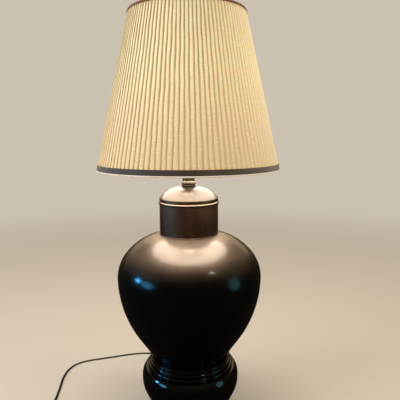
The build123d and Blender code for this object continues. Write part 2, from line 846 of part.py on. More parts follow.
with BuildPart() as switch_key:
    with BuildSketch(Plane(origin=(0, -key_face, key_z), z_dir=(0, -1, 0))):
        Circle(key_hub_r)
    extrude(amount=key_hub_h)
    with BuildSketch(Plane(origin=(0, -key_face - key_hub_h, key_z), z_dir=(0, -1, 0))):
        SlotOverall(key_paddle_w, key_paddle_t)
    extrude(amount=key_paddle_h)
    fillet(switch_key.edges().group_by(Axis.Y)[0], radius=key_paddle_t / 5)
    with BuildSketch(Plane(origin=(0, -key_face, key_z), z_dir=(0, -1, 0))):
        Circle(stem_r + close_fit)
    extrude(amount=key_bore_h + close_fit, mode=Mode.SUBTRACT)
switch_key.part.label = "switch_key"
export_step(switch_key.part, "parts/switch_key.step")

# ---------------------------------------------------------------- shade
# The shade is a cone. Each layer is placed by how far it lies inside the
# trims' outer face, measured level.
shade_top_z = shade_seat_z + fitter_drop
shade_low_z = shade_top_z - shade_h


def shade_at(z):
    """Radius of the trims' outer face at height z."""
    return shade_bottom_r + (shade_top_r - shade_bottom_r) * (z - shade_low_z) / shade_h


def cone_wall(inset, wall, low_z, high_z):
    """Section of a conical wall, its face set in by inset from the trims' face."""
    Polygon(
        (shade_at(low_z) - inset, low_z),
        (shade_at(high_z) - inset, high_z),
        (shade_at(high_z) - inset - wall, high_z),
        (shade_at(low_z) - inset - wall, low_z),
        align=None,
    )


liner_in = liner_inset + liner_t

with BuildPart() as shade_liner:
    with BuildSketch(Plane.XZ):
        cone_wall(liner_inset, liner_t, shade_low_z, shade_top_z)
    revolve(axis=Axis.Z)
shade_liner.part.label = "shade_liner"
export_step(shade_liner.part, "parts/shade_liner.step")

# The pleats are straight knife pleats: each one rises slowly to its fold and
# drops back steeply. They keep their count and narrow towards the top.
cover_low_z = shade_low_z + trim_overhang
cover_top_z = shade_top_z - trim_overhang
cut_low_z = cover_low_z - cut_past
cut_top_z = cover_top_z + cut_past
crest_inset = trim_t + trim_gap
valley_share = 1 - pleat_depth / (shade_bottom_r - crest_inset)


def pleat_outline(z):
    """Outline of the folds at height z, one crest and one valley to a pleat."""
    crest_r = shade_at(z) - crest_inset
    points = []
    for pleat in range(pleats):
        crest_a = 2 * pi * pleat / pleats
        valley_a = crest_a + 2 * pi * pleat_fold / pleats
        points.append((crest_r * cos(crest_a), crest_r * sin(crest_a)))
        points.append((crest_r * valley_share * cos(valley_a), crest_r * valley_share * sin(valley_a)))
    return points


def liner_outline(z):
    """Flat-sided outline just clear of the liner at height z, with a corner at each crest."""
    corner_r = (shade_at(z) - liner_inset + liner_gap) / cos(pi / pleats)
    corners = [2 * pi * pleat / pleats for pleat in range(pleats)]
    return [(corner_r * cos(corner_a), corner_r * sin(corner_a)) for corner_a in corners]


with BuildPart() as pleated_cover:
    for level_z in (cover_low_z, cover_top_z):
        with BuildSketch(Plane.XY.offset(level_z)):
            with BuildLine():
                Polyline(pleat_outline(level_z), close=True)
            make_face()
    loft(ruled=True)
    for level_z in (cut_low_z, cut_top_z):
        with BuildSketch(Plane.XY.offset(level_z)):
            with BuildLine():
                Polyline(liner_outline(level_z), close=True)
            make_face()
    loft(ruled=True, mode=Mode.SUBTRACT)
pleated_cover.part.label = "pleated_cover"
export_step(pleated_cover.part, "parts/pleated_cover.step")

with BuildPart() as bottom_trim:
    with BuildSketch(Plane.XZ):
        cone_wall(0, trim_t, shade_low_z, shade_low_z + trim_h)
    revolve(axis=Axis.Z)
bottom_trim.part.label = "bottom_trim"
export_step(bottom_trim.part, "parts/bottom_trim.step")

with BuildPart() as top_trim:
    with BuildSketch(Plane.XZ):
        cone_wall(0, trim_t, shade_top_z - top_trim_h, shade_top_z)
    revolve(axis=Axis.Z)
top_trim.part.label = "top_trim"
export_step(top_trim.part, "parts/top_trim.step")

# the lining is turned over the bottom wire, and its roll shows below the trim
with BuildPart() as lining_edge:
    with BuildSketch(Plane.XZ):
        with Locations((shade_bottom_r - edge_inset, shade_low_z - edge_bead_r - seat_gap)):
            Circle(edge_bead_r)
    revolve(axis=Axis.Z)
lining_edge.part.label = "lining_edge"
export_step(lining_edge.part, "parts/lining_edge.step")

# ---------------------------------------------------------------- shade frame
# The fitter is welded up from a hub washer, three arms and the top wire ring.
top_wire_z = shade_top_z - frame_inset
top_wire_r = shade_at(top_wire_z) - liner_in - frame_wire_r - wire_gap
low_wire_z = shade_low_z + frame_inset
low_wire_r = shade_at(low_wire_z) - liner_in - frame_wire_r - wire_gap
arm_z = shade_seat_z + hub_t + wire_gap / 2
arm_start = hub_r - hub_t / 2

with BuildPart() as shade_fitter:
    with BuildSketch(Plane.XY.offset(shade_seat_z)):
        Circle(hub_r)
        Circle(hub_hole_r, mode=Mode.SUBTRACT)
    extrude(amount=hub_t)
    for arm in range(3):
        turn = radians(90 + 120 * arm)
        arm_plane = Plane(
            origin=(0, 0, 0),
            x_dir=(cos(turn), sin(turn), 0),
            z_dir=(sin(turn), -cos(turn), 0),
        )
        with BuildLine(arm_plane) as arm_path:
            FilletPolyline(
                (arm_start, arm_z),
                (arm_flat, arm_z),
                (top_wire_r, top_wire_z),
                radius=arm_bend,
            )
        with BuildSketch(Plane(origin=arm_path.line @ 0, z_dir=arm_path.line % 0)):
            Circle(frame_wire_r)
        sweep()
    with BuildSketch(Plane.XZ):
        with Locations((top_wire_r, top_wire_z)):
            Circle(frame_wire_r)
    revolve(axis=Axis.Z)
shade_fitter.part.label = "shade_fitter"
export_step(shade_fitter.part, "parts/shade_fitter.step")

with BuildPart() as bottom_ring:
    with BuildSketch(Plane.XZ):
        with Locations((low_wire_r, low_wire_z)):
            Circle(frame_wire_r)
    revolve(axis=Axis.Z)
bottom_ring.part.label = "bottom_ring"
export_step(bottom_ring.part, "parts/bottom_ring.step")

# ---------------------------------------------------------------- finial
finial_z = shade_seat_z + hub_t
ball_z = finial_z + finial_flange_h + finial_waist_h + finial_ball_r * 0.85
ball_low_z = ball_z - sqrt(finial_ball_r**2 - finial_waist_r**2)
ball_high_z = ball_z + sqrt(finial_ball_r**2 - finial_tip_r**2)

with BuildPart() as finial:
    with BuildSketch(Plane.XZ):
        with BuildLine():
            Polyline(
                (0, finial_z),
                (finial_flange_r, finial_z),
                (finial_flange_r, finial_z + finial_flange_h),
                (finial_waist_r, finial_z + finial_flange_h),
                (finial_waist_r, ball_low_z),
            )
            ThreePointArc(
                (finial_waist_r, ball_low_z),
                (finial_ball_r, ball_z),
                (finial_tip_r, ball_high_z),
            )
            Polyline(
                (finial_tip_r, ball_high_z),
                (finial_tip_r, ball_high_z + finial_tip_h - finial_tip_r),
            )
            RadiusArc(
                (finial_tip_r, ball_high_z + finial_tip_h - finial_tip_r),
                (0, ball_high_z + finial_tip_h),
                -finial_tip_r,
            )
            Line((0, ball_high_z + finial_tip_h), (0, finial_z))
        make_face()
    revolve(axis=Axis.Z)
    with BuildSketch(Plane.XY.offset(finial_z)):
        Circle(stud_r + running_fit)
    extrude(amount=stud_h - hub_t + seat_gap, mode=Mode.SUBTRACT)
finial.part.label = "finial"
export_step(finial.part, "parts/finial.step")

# ---------------------------------------------------------------- cord bushing
# A moulded bushing: its stem fills the hole in the foot, a collar lies on the
# outside, and the nose tapers along the cord.
nose_y = collar_seat_y + bushing_collar_t
cord_exit_y = cord_route[0][1]

with BuildPart() as cord_bushing:
    with BuildSketch(Plane(origin=(0, recess_r, cord_exit_z), z_dir=(0, 1, 0))):
        Circle(bushing_r)
    extrude(amount=collar_seat_y - recess_r)
    with BuildSketch(Plane(origin=(0, collar_seat_y, cord_exit_z), z_dir=(0, 1, 0))):
        Circle(bushing_collar_r)
    extrude(amount=bushing_collar_t)
    with BuildSketch(Plane(origin=(0, nose_y, cord_exit_z), z_dir=(0, 1, 0))):
        Circle(bushing_nose_r)
    with BuildSketch(Plane(origin=(0, cord_exit_y, cord_exit_z), z_dir=(0, 1, 0))):
        Circle(bushing_tip_r)
    loft()
    with BuildSketch(Plane(origin=(0, recess_r - cut_past, cord_exit_z), z_dir=(0, 1, 0))):
        Circle(cord_r + cord_bore_gap)
    extrude(amount=cord_exit_y - recess_r + 2 * cut_past, mode=Mode.SUBTRACT)
cord_bushing.part.label = "cord_bushing"
export_step(cord_bushing.part, "parts/cord_bushing.step")

# ---------------------------------------------------------------- cord inside the lamp
# From the bushing's tip through the base's recess, up the pipe, to the socket body.
with BuildPart() as inner_cord:
    with BuildLine() as inner_path:
        FilletPolyline(
            (0, cord_exit_y, cord_exit_z),
            (0, 0, cord_exit_z),
            (0, 0, body_z),
            radius=inner_bend_r,
        )
    with BuildSketch(Plane(origin=inner_path.line @ 0, z_dir=inner_path.line % 0)):
        Circle(cord_r)
    sweep()
inner_cord.part.label = "inner_cord"
export_step(inner_cord.part, "parts/inner_cord.step")


# ---------------------------------------------------------------- cord, free stretch
def bend_radii(route):
    """Radius at each inner point of a route: as large as its two runs allow."""
    radii = []
    for before, here, after in zip(route, route[1:], route[2:]):
        run_in = Vector(*here) - Vector(*before)
        run_out = Vector(*after) - Vector(*here)
        half_turn = radians(run_in.get_angle(run_out)) / 2
        radii.append(0.45 * min(run_in.length, run_out.length) / tan(half_turn))
    return radii


cord_radii = bend_radii(cord_route)

with BuildPart() as cord_lead:
    with BuildLine() as lead_path:
        FilletPolyline(cord_route, radius=cord_radii)
    with BuildSketch(Plane(origin=lead_path.line @ 0, z_dir=lead_path.line % 0)):
        Circle(cord_r)
    sweep()
cord_lead.part.label = "cord_lead"
export_step(cord_lead.part, "parts/cord_lead.step")

# ---------------------------------------------------------------- cord coil
# Half turns that draw in on the lower layer, climb in one tilted half turn at
# the middle, and draw out again on the upper layer.
coil_x, coil_y, coil_z = cord_route[-1]
coil_y = coil_y - 2 * cord_r
coil_half_turns = []
turn_x = coil_x
turn_z = coil_z
turn_side = -1
for step in range(2 * coil_turns_down + 1):
    reverse = abs(step - coil_turns_down)
    turn_r = coil_outer_r - (coil_turns_down - reverse) * coil_pitch / 2
    climb = coil_pitch if step == coil_turns_down else 0
    next_x = turn_x - 2 * turn_side * turn_r
    next_z = turn_z + climb
    depth = turn_side * hypot(turn_r, climb / 2)
    middle = ((turn_x + next_x) / 2, coil_y + depth, (turn_z + next_z) / 2)
    coil_half_turns.append(((turn_x, coil_y, turn_z), middle, (next_x, coil_y, next_z)))
    turn_x = next_x
    turn_z = next_z
    turn_side = -turn_side

with BuildPart() as cord_coil:
    with BuildLine() as coil_path:
        Line((coil_x, coil_y + 2 * cord_r, coil_z), (coil_x, coil_y, coil_z))
        for turn_start, turn_middle, turn_end in coil_half_turns:
            ThreePointArc(turn_start, turn_middle, turn_end)
        Line((turn_x, coil_y, turn_z), (turn_x, coil_y + coil_tail, turn_z))
    with BuildSketch(Plane(origin=coil_path.line @ 0, z_dir=coil_path.line % 0)):
        Circle(cord_r)
    sweep()
cord_coil.part.label = "cord_coil"
export_step(cord_coil.part, "parts/cord_coil.step")

# ---------------------------------------------------------------- cord tie
# A flat strap round all the turns, at the coil's side towards the front.
least_turn_r = coil_outer_r - (coil_turns_down - 1) * coil_pitch / 2
tie_reach = tie_w / 2 + coil_pitch / 2
tie_in_y = coil_y - coil_outer_r - cord_r - tie_gap
tie_out_y = coil_y - sqrt(least_turn_r**2 - tie_reach**2) + cord_r + tie_gap
tie_low_z = coil_z - cord_r - tie_gap
tie_top_z = turn_z + cord_r + tie_gap
tie_x = coil_x + coil_outer_r + coil_pitch / 2

with BuildPart() as cord_tie:
    tie_plane = Plane(
        origin=(tie_x, (tie_in_y + tie_out_y) / 2, (tie_low_z + tie_top_z) / 2),
        x_dir=(0, 1, 0),
        z_dir=(1, 0, 0),
    )
    with BuildSketch(tie_plane):
        tie_inner_w = tie_out_y - tie_in_y
        tie_inner_h = tie_top_z - tie_low_z
        RectangleRounded(tie_inner_w + 2 * tie_wall, tie_inner_h + 2 * tie_wall, 2 * tie_wall)
        RectangleRounded(tie_inner_w, tie_inner_h, tie_wall, mode=Mode.SUBTRACT)
    extrude(amount=tie_w / 2, both=True)
cord_tie.part.label = "cord_tie"
export_step(cord_tie.part, "parts/cord_tie.step")

# ---------------------------------------------------------------- plug
plug_y = coil_y + coil_tail
plug_face_y = plug_y + plug_taper + plug_h

with BuildPart() as plug_body:
    with BuildSketch(Plane(origin=(turn_x, plug_y, turn_z), x_dir=(1, 0, 0), z_dir=(0, 1, 0))):
        RectangleRounded(plug_tip_w, plug_tip_t, plug_tip_t / 3)
    with BuildSketch(
        Plane(origin=(turn_x, plug_y + plug_taper, turn_z), x_dir=(1, 0, 0), z_dir=(0, 1, 0))
    ):
        RectangleRounded(plug_w, plug_t, plug_t / 4)
    loft()
    extrude(plug_body.faces().sort_by(Axis.Y)[-1], amount=plug_h)
plug_body.part.label = "plug_body"
export_step(plug_body.part, "parts/plug_body.step")

with BuildPart() as plug_blades:
    with BuildSketch(Plane(origin=(turn_x, plug_face_y, turn_z), x_dir=(1, 0, 0), z_dir=(0, 1, 0))):
        with Locations((blade_apart / 2, 0), (-blade_apart / 2, 0)):
            Rectangle(blade_t, blade_w)
    extrude(amount=blade_h)
plug_blades.part.label = "plug_blades"
export_step(plug_blades.part, "parts/plug_blades.step")


# ---------------------------------------------------------------- measures of the cord
points_per_turn = 24     # half turns


def least_coil_gap():
    """Least gap of the coil to itself, on points along its centre line."""
    points = []
    along = 0.0
    for turn_start, turn_middle, turn_end in coil_half_turns:
        arc = ThreePointArc(turn_start, turn_middle, turn_end)
        for k in range(points_per_turn):
            share = k / points_per_turn
            points.append((along + arc.length * share, arc @ share))
        along += arc.length
    gaps = [
        (there - here).length
        for i, (here_s, here) in enumerate(points)
        for there_s, there in points[i + 1:]
        if there_s - here_s > pi * coil_outer_r
    ]
    return min(gaps) - 2 * cord_r


def volume_ratio(solid, length):
    """Volume of a tube over its section times its length."""
    return round(solid.volume / (pi * cord_r**2 * length), 4)


lead_length = lead_path.wire().length
coil_length = coil_path.wire().length
print("cord radii", [round(r) for r in cord_radii])
print("lead", round(lead_length, 1), "volume ratio", volume_ratio(cord_lead.part, lead_length))
print("coil", round(coil_length, 1), "volume ratio", volume_ratio(cord_coil.part, coil_length))
print("coil gap", round(least_coil_gap(), 3))
print("free cord", round(lead_length + coil_length, 1), "to the plug")
print("finial top", round(finial.part.bounding_box().max.Z, 1))
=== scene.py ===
# Ginger jar table lamp: the looks of its pieces, put together from the floor up.
from math import asin, atan2, cos, degrees, hypot, pi, radians, sin, sqrt

import bmesh
import bpy
from mathutils import Matrix, Vector, noise


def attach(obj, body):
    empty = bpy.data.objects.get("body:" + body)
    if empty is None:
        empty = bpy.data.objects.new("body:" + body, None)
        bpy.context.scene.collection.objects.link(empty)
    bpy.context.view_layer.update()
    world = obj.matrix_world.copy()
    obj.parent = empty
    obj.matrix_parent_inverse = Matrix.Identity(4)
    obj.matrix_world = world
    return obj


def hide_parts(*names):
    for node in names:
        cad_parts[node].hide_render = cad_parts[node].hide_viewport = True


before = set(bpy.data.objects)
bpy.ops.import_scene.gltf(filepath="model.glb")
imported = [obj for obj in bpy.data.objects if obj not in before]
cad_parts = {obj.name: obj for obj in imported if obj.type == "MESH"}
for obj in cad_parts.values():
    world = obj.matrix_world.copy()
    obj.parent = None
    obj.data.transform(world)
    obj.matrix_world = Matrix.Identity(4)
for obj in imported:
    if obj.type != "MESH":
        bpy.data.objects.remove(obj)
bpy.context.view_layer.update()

scene = bpy.context.scene
scene.view_settings.view_transform = "Standard"

# ---------------------------------------------------------------- camera
# A phone held a little above the middle of the lamp, close by and tipped down,
# so the foot and the shade's top edge nearly fill the picture's height.
camera_place = (0.0226, -0.885, 0.595)
camera_tilt, camera_roll = 81.6, -0.3
camera = bpy.data.objects.new("camera", bpy.data.cameras.new("camera"))
camera.data.sensor_width = 36
camera.data.lens = 39.95
camera.matrix_world = (
    Matrix.Translation(camera_place)
    @ Matrix.Rotation(radians(camera_tilt), 4, "X")
    @ Matrix.Rotation(radians(camera_roll), 4, "Z")
)
scene.collection.objects.link(camera)
scene.camera = camera


# ---------------------------------------------------------------- floor and studio
# A plain round floor of pale warm paint that fades out into a background of
# its own colour, a large soft light at each side and a wide one overhead.
def colour(code):
    """Linear values of a colour that was picked as sRGB hex."""
    shares = [int(code[i : i + 2], 16) / 255 for i in (1, 3, 5)]
    return [s / 12.92 if s <= 0.04045 else ((s + 0.055) / 1.055) ** 2.4 for s in shares] + [1.0]


def feed(node, inputs):
    """Fill a node's inputs. Each takes a value, a socket, or a node, whose first output it takes."""
    for key, value in inputs.items():
        if isinstance(value, bpy.types.Node):
            value = value.outputs[0]
        if isinstance(value, bpy.types.NodeSocket):
            node.id_data.links.new(value, node.inputs[key])
        else:
            node.inputs[key].default_value = value


def add(tree, kind, inputs=None, **settings):
    """One node with its settings and links."""
    node = tree.nodes.new(kind)
    for name, value in settings.items():
        setattr(node, name, value)
    feed(node, inputs or {})
    return node


def ramp(node, *stops):
    """Give a colour ramp its stops, each a position and a hex colour."""
    stops_of = node.color_ramp.elements
    while len(stops_of) < len(stops):
        stops_of.new(0.5)
    for stop, (place, code) in zip(stops_of, stops):
        stop.position = place
        stop.color = colour(code)
    return node


def finish_named(name, surface):
    """A new material, its node tree and its surface shader, with these values on the shader."""
    made = bpy.data.materials.new(name)
    made.use_nodes = True
    shader = made.node_tree.nodes["Principled BSDF"]
    feed(shader, surface)
    return made, made.node_tree, shader


# where a Mix node of colours takes its two colours, and where it gives the mixed one
colour_a, colour_b, mixed = 6, 7, 2

background = colour("#CBC1B1")

floor_reach = 3.2
floor_sides = 96
floor_turns = [2 * pi * i / floor_sides for i in range(floor_sides)]
floor_mesh = bpy.data.meshes.new("floor")
floor_mesh.from_pydata(
    [(floor_reach * cos(a), floor_reach * sin(a), 0) for a in floor_turns],
    [],
    [list(range(floor_sides))],
)
floor = bpy.data.objects.new("floor", floor_mesh)
scene.collection.objects.link(floor)

# Matt paint: pale and even to the eye, and nearly black in the mirror of the dark pieces.
floor_paint, tree, shader = finish_named("matt_floor_paint", {"Roughness": 0.85, "Specular IOR Level": 0.2})
rays = add(tree, "ShaderNodeLightPath")
paint = add(
    tree,
    "ShaderNodeMix",
    {"Factor": rays.outputs["Is Glossy Ray"], colour_a: colour("#CFC6B7"), colour_b: colour("#1B1410")},
    data_type="RGBA",
)
feed(shader, {"Base Color": paint.outputs[mixed]})
place = add(tree, "ShaderNodeTexCoord").outputs["Object"]
radius = add(tree, "ShaderNodeVectorMath", {0: place}, operation="LENGTH")
fade = add(
    tree,
    "ShaderNodeMapRange",
    {"Value": radius.outputs["Value"], "From Min": 0.9, "From Max": 2.9},
    interpolation_type="SMOOTHSTEP",
)
clear = add(tree, "ShaderNodeBsdfTransparent")
blend = add(tree, "ShaderNodeMixShader", {0: fade, 1: shader, 2: clear})
feed(tree.nodes["Material Output"], {"Surface": blend})
floor_mesh.materials.append(floor_paint)

world = bpy.data.worlds.new("studio")
scene.world = world
world.use_nodes = True
tree = world.node_tree
rays = add(tree, "ShaderNodeLightPath")
seen = add(
    tree,
    "ShaderNodeMath",
    {0: rays.outputs["Is Camera Ray"], 1: rays.outputs["Is Transmission Ray"]},
    operation="MAXIMUM",
)
pale = add(tree, "ShaderNodeBackground", {"Color": background, "Strength": 1.0})
dim = add(tree, "ShaderNodeBackground", {"Color": colour("#FFF6EA"), "Strength": 0.38})
# the dark finishes mirror a dim room, dimmest near the ground
toward = add(tree, "ShaderNodeSeparateXYZ", {0: add(tree, "ShaderNodeTexCoord").outputs["Generated"]})
lift = add(
    tree,
    "ShaderNodeMapRange",
    {"Value": toward.outputs["Z"], "From Min": 0.0, "From Max": 0.75, "To Min": 0.07, "To Max": 0.20},
)
room = add(tree, "ShaderNodeBackground", {"Color": colour("#B39A80"), "Strength": lift})
unseen = add(tree, "ShaderNodeMixShader", {0: rays.outputs["Is Glossy Ray"], 1: dim, 2: room})
sky = add(tree, "ShaderNodeMixShader", {0: seen, 1: unseen, 2: pale})
feed(tree.nodes["World Output"], {"Surface": sky})

# name, place, width, height, power in watts, colour, and whether it lights matt or
# mirroring surfaces: the first five are there for the gloss alone
lights_aim = Vector((0, 0, 0.4))
for name, spot, width, height, power, tint, matt, mirrored in (
    ("cool_panel_left", (-1.25, -0.64, 0.47), 0.50, 0.34, 2.6, "#48A6D8", False, True),
    ("cool_spot_left", (-1.40, -0.22, 0.52), 0.20, 0.18, 3.2, "#4FB4FF", False, True),
    ("cool_panel_right", (1.42, -0.50, 0.46), 0.50, 0.80, 1.3, "#6FC0C4", False, True),
    ("small_white_light", (0.72, -0.72, 1.32), 0.12, 0.12, 0.7, "#FFF4E0", False, True),
    ("wall_glow", (0.0, 0.75, 0.64), 1.60, 0.34, 0.9, "#F0D8A8", False, True),
    ("key_light", (-1.75, -0.85, 1.05), 1.10, 1.10, 24.0, "#F8F8FF", True, False),
    ("fill_light", (1.80, -0.75, 0.80), 1.10, 1.10, 12.5, "#FFF3E6", True, False),
    ("overhead_light", (0.0, 0.35, 2.40), 1.80, 1.60, 34.0, "#FFF4E4", True, True),
):
    lamp = bpy.data.objects.new(name, bpy.data.lights.new(name, "AREA"))
    lamp.data.shape = "RECTANGLE" if matt else "ELLIPSE"
    lamp.data.size, lamp.data.size_y = width, height
    lamp.data.energy = power
    lamp.data.color = colour(tint)[:3]
    lamp.location = spot
    lamp.rotation_euler = (lights_aim - Vector(spot)).to_track_quat("-Z", "Y").to_euler()
    lamp.visible_camera = False
    lamp.visible_diffuse = matt
    lamp.visible_glossy = mirrored
    scene.collection.objects.link(lamp)

# ---------------------------------------------------------------- cord
# Flat twin lamp cord with a dark brown sheath, 5.3 mm wide and 2.8 mm thick. It
# leaves the foot at the back, lies on the floor, and its spare length is coiled.
cord_z = 0.0015
cord_exit = (0.0, 0.108, 0.0075)
cord_route = [cord_exit, (0.0, 0.131, 0.0072), (-0.004, 0.155, 0.003)]
cord_route += [
    (x, y, cord_z)
    for x, y in (
        (-0.013, 0.180), (-0.030, 0.206), (-0.056, 0.230), (-0.088, 0.254), (-0.126, 0.262),
        (-0.167, 0.2555), (-0.208, 0.242), (-0.248, 0.230), (-0.283, 0.219), (-0.307, 0.200),
        (-0.317, 0.170), (-0.318, 0.136), (-0.313, 0.101), (-0.309, 0.066), (-0.307, 0.031),
        (-0.306, -0.002), (-0.306, -0.029), (-0.306, -0.056),
    )
]
# The coil: eleven half turns that wind in on the floor and out again on top.
coil_y = -0.0613
half_turns = 11
coil_outer = 0.03775
coil_pitch = 0.0059
layer_up = 0.0031
points_to_half = 8
turn_x = cord_route[-1][0]
for turn in range(half_turns):
    reach = coil_outer - coil_pitch / 2 * min(turn, half_turns - 1 - turn)
    way = 1 if turn % 2 == 0 else -1
    for step in range(points_to_half):
        angle = pi * (step + 0.5) / points_to_half
        climb = min(max(turn + angle / pi - half_turns // 2, 0), 1)
        cord_route.append((
            turn_x + way * reach * (1 - cos(angle)),
            coil_y - way * reach * sin(angle),
            cord_z + climb * layer_up,
        ))
    turn_x += way * 2 * reach
plug_z = 0.00955
plug_y = coil_y + 0.018
cord_route += [
    (turn_x, coil_y + 0.002, cord_z + layer_up + 0.0009),
    (turn_x, coil_y + 0.008, 0.0085),
    (turn_x, coil_y + 0.013, plug_z),
    (turn_x, plug_y + 0.002, plug_z),
]

route_curve = bpy.data.curves.new("cord_route", "CURVE")
route_curve.dimensions = "3D"
spline = route_curve.splines.new("NURBS")
spline.points.add(len(cord_route) - 1)
for point, spot in zip(spline.points, cord_route):
    point.co = (*spot, 1.0)
spline.order_u = 3
spline.use_endpoint_u = True
spline.resolution_u = 6
route_object = bpy.data.objects.new("cord_route", route_curve)
scene.collection.objects.link(route_object)


def as_mesh(thing, name):
    """The evaluated shape of an object as a plain mesh."""
    bpy.context.view_layer.update()
    ready = thing.evaluated_get(bpy.context.evaluated_depsgraph_get())
    made = bpy.data.meshes.new_from_object(ready)
    made.name = name
    return made


cord_line = [v.co.copy() for v in as_mesh(route_object, "cord_line").vertices]
bpy.data.objects.remove(route_object)


def piece(name, mesh, finish, sharp=35):
    """Link a mesh as a piece of the lamp, smooth but for edges sharper than this many degrees."""
    mesh.materials.clear()
    mesh.materials.append(finish)
    mesh.shade_smooth()
    mesh.set_sharp_from_angle(angle=radians(sharp))
    made = bpy.data.objects.new(name, mesh)
    scene.collection.objects.link(made)
    return made


def skin(name, rings, loop=False):
    """A closed mesh over rings of points. Its ends are capped unless the rings run round in a loop."""
    shell = bmesh.new()
    rows = [[shell.verts.new(p) for p in ring] for ring in rings]
    for low, high in zip(rows, rows[1:] + (rows[:1] if loop else [])):
        count = max(len(low), len(high))
        for k in range(count):
            after = k + 1
            corners = [low[k % len(low)], low[after % len(low)], high[after % len(high)], high[k % len(high)]]
            corners = list(dict.fromkeys(corners))
            if len(corners) > 2:
                shell.faces.new(corners)
    if not loop:
        for row in (rows[0], rows[-1]):
            if len(row) > 2:
                shell.faces.new(row)
    bmesh.ops.recalc_face_normals(shell, faces=shell.faces)
    made = bpy.data.meshes.new(name)
    shell.to_mesh(made)
    shell.free()
    return made


def swept(name, line, section):
    """A section, (sideways, upwards) points in metres, carried along a line of points."""
    rings = []
    for i, here in enumerate(line):
        ahead = (line[min(i + 1, len(line) - 1)] - line[max(i - 1, 0)]).normalized()
        side = ahead.cross(Vector((0, 0, 1))).normalized()
        top = side.cross(ahead)
        rings.append([here + side * a + top * b for a, b in section])
    return skin(name, rings)


# two round lobes with a groove between them
lobe_r = 0.0014
lobe_apart = 0.00125
cord_section = [
    (way * (lobe_apart + lobe_r * cos(radians(a))), way * lobe_r * sin(radians(a)))
    for way in (1, -1)
    for a in range(-150, 151, 25)
]

# Flexible PVC sheath, extruded: a dark brown with a satin skin, and dust on it in
# patches some 4 mm wide.
cord_pvc, tree, shader = finish_named("brown_pvc_cord", {"IOR": 1.53})
place = add(tree, "ShaderNodeTexCoord").outputs["Object"]
dust = add(tree, "ShaderNodeTexNoise", {"Vector": place, "Scale": 260.0, "Detail": 3.0})
tone = ramp(add(tree, "ShaderNodeValToRGB", {0: dust}), (0.35, "#0F0B09"), (0.75, "#1C1511"))
gloss = add(tree, "ShaderNodeMapRange", {"Value": dust, "To Min": 0.36, "To Max": 0.5})
feed(shader, {"Base Color": tone, "Roughness": gloss})

cord = piece("lamp_cord", swept("lamp_cord", cord_line, cord_section), cord_pvc, 60)

# Strain relief: a moulded round nose that tapers along the cord, slotted so that
# it bends evenly. It lies along +Y, from the foot's face to the cord's exit.
relief_from, flange_to, relief_to = 0.078, 0.0845, cord_exit[1]
relief_steps, relief_sides = 72, 40
relief_slots = 5.5
relief_rings = []
for step in range(relief_steps + 1):
    y = relief_from + (relief_to - relief_from) * step / relief_steps
    along = (y - flange_to) / (relief_to - flange_to)
    if along < 0:
        r = 0.0049 - 0.0005 * max(0, 1 - (flange_to - y) / 0.0008)
    else:
        r = 0.0046 - 0.0010 * along
        r -= 0.00075 * max(0, sin(along * 2 * pi * relief_slots)) ** 0.5 * (0.04 < along < 0.93)
        r -= 0.0006 * max(0, along - 0.95) / 0.05
    turns = [2 * pi * k / relief_sides for k in range(relief_sides)]
    relief_rings.append([(r * cos(a), y, cord_exit[2] + r * sin(a)) for a in turns])
relief = piece("strain_relief", skin("strain_relief", relief_rings), cord_pvc, 50)
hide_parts("cord_bushing")
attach(relief, "lamp")

# Coil tie: a flat releasable strap, closed round the coil's near side.
tie_x = -0.2653
tie_half_w, tie_thick = 0.0035, 0.0007
strap_low, strap_high = 0.0009, cord_z + layer_up + 0.0022
bundle_near, bundle_far = -0.1029, -0.0826
corner, corner_steps = 0.0018, 8
tie_rings = []
for centre_y, centre_z, start in (
    (bundle_far - corner, strap_high - corner, 0),
    (bundle_near + corner, strap_high - corner, 90),
    (bundle_near + corner, strap_low + corner, 180),
    (bundle_far - corner, strap_low + corner, 270),
):
    for step in range(corner_steps + 1):
        a = radians(start + step * 90 / corner_steps)
        ring = []
        for side, out in ((-1, 0), (1, 0), (1, 1), (-1, 1)):
            r = corner + out * tie_thick
            ring.append((tie_x + side * tie_half_w, centre_y + r * cos(a), centre_z + r * sin(a)))
        tie_rings.append(ring)

# Woven nylon tape: black and matt, with fine ribs across it and a slight nap.
tie_finish, tree, shader = finish_named("black_nylon_strap", {"Roughness": 0.7, "Sheen Weight": 0.3})
place = add(tree, "ShaderNodeTexCoord").outputs["Object"]
# cross ribs, 1.2 mm apart
weave = add(
    tree,
    "ShaderNodeTexWave",
    {"Vector": place, "Scale": 260.0, "Distortion": 0.6},
    bands_direction="X",
)
tone = ramp(add(tree, "ShaderNodeValToRGB", {0: weave}), (0.2, "#0E0D0D"), (0.9, "#262423"))
rib = add(tree, "ShaderNodeBump", {"Height": weave, "Strength": 0.4, "Distance": 0.0002})
feed(shader, {"Base Color": tone, "Normal": rib})
tie = piece("coil_tie", skin("coil_tie", tie_rings, loop=True), tie_finish)
tie.modifiers.new("rounded", "BEVEL").width = 0.0002
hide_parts("cord_tie")
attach(tie, "lamp")

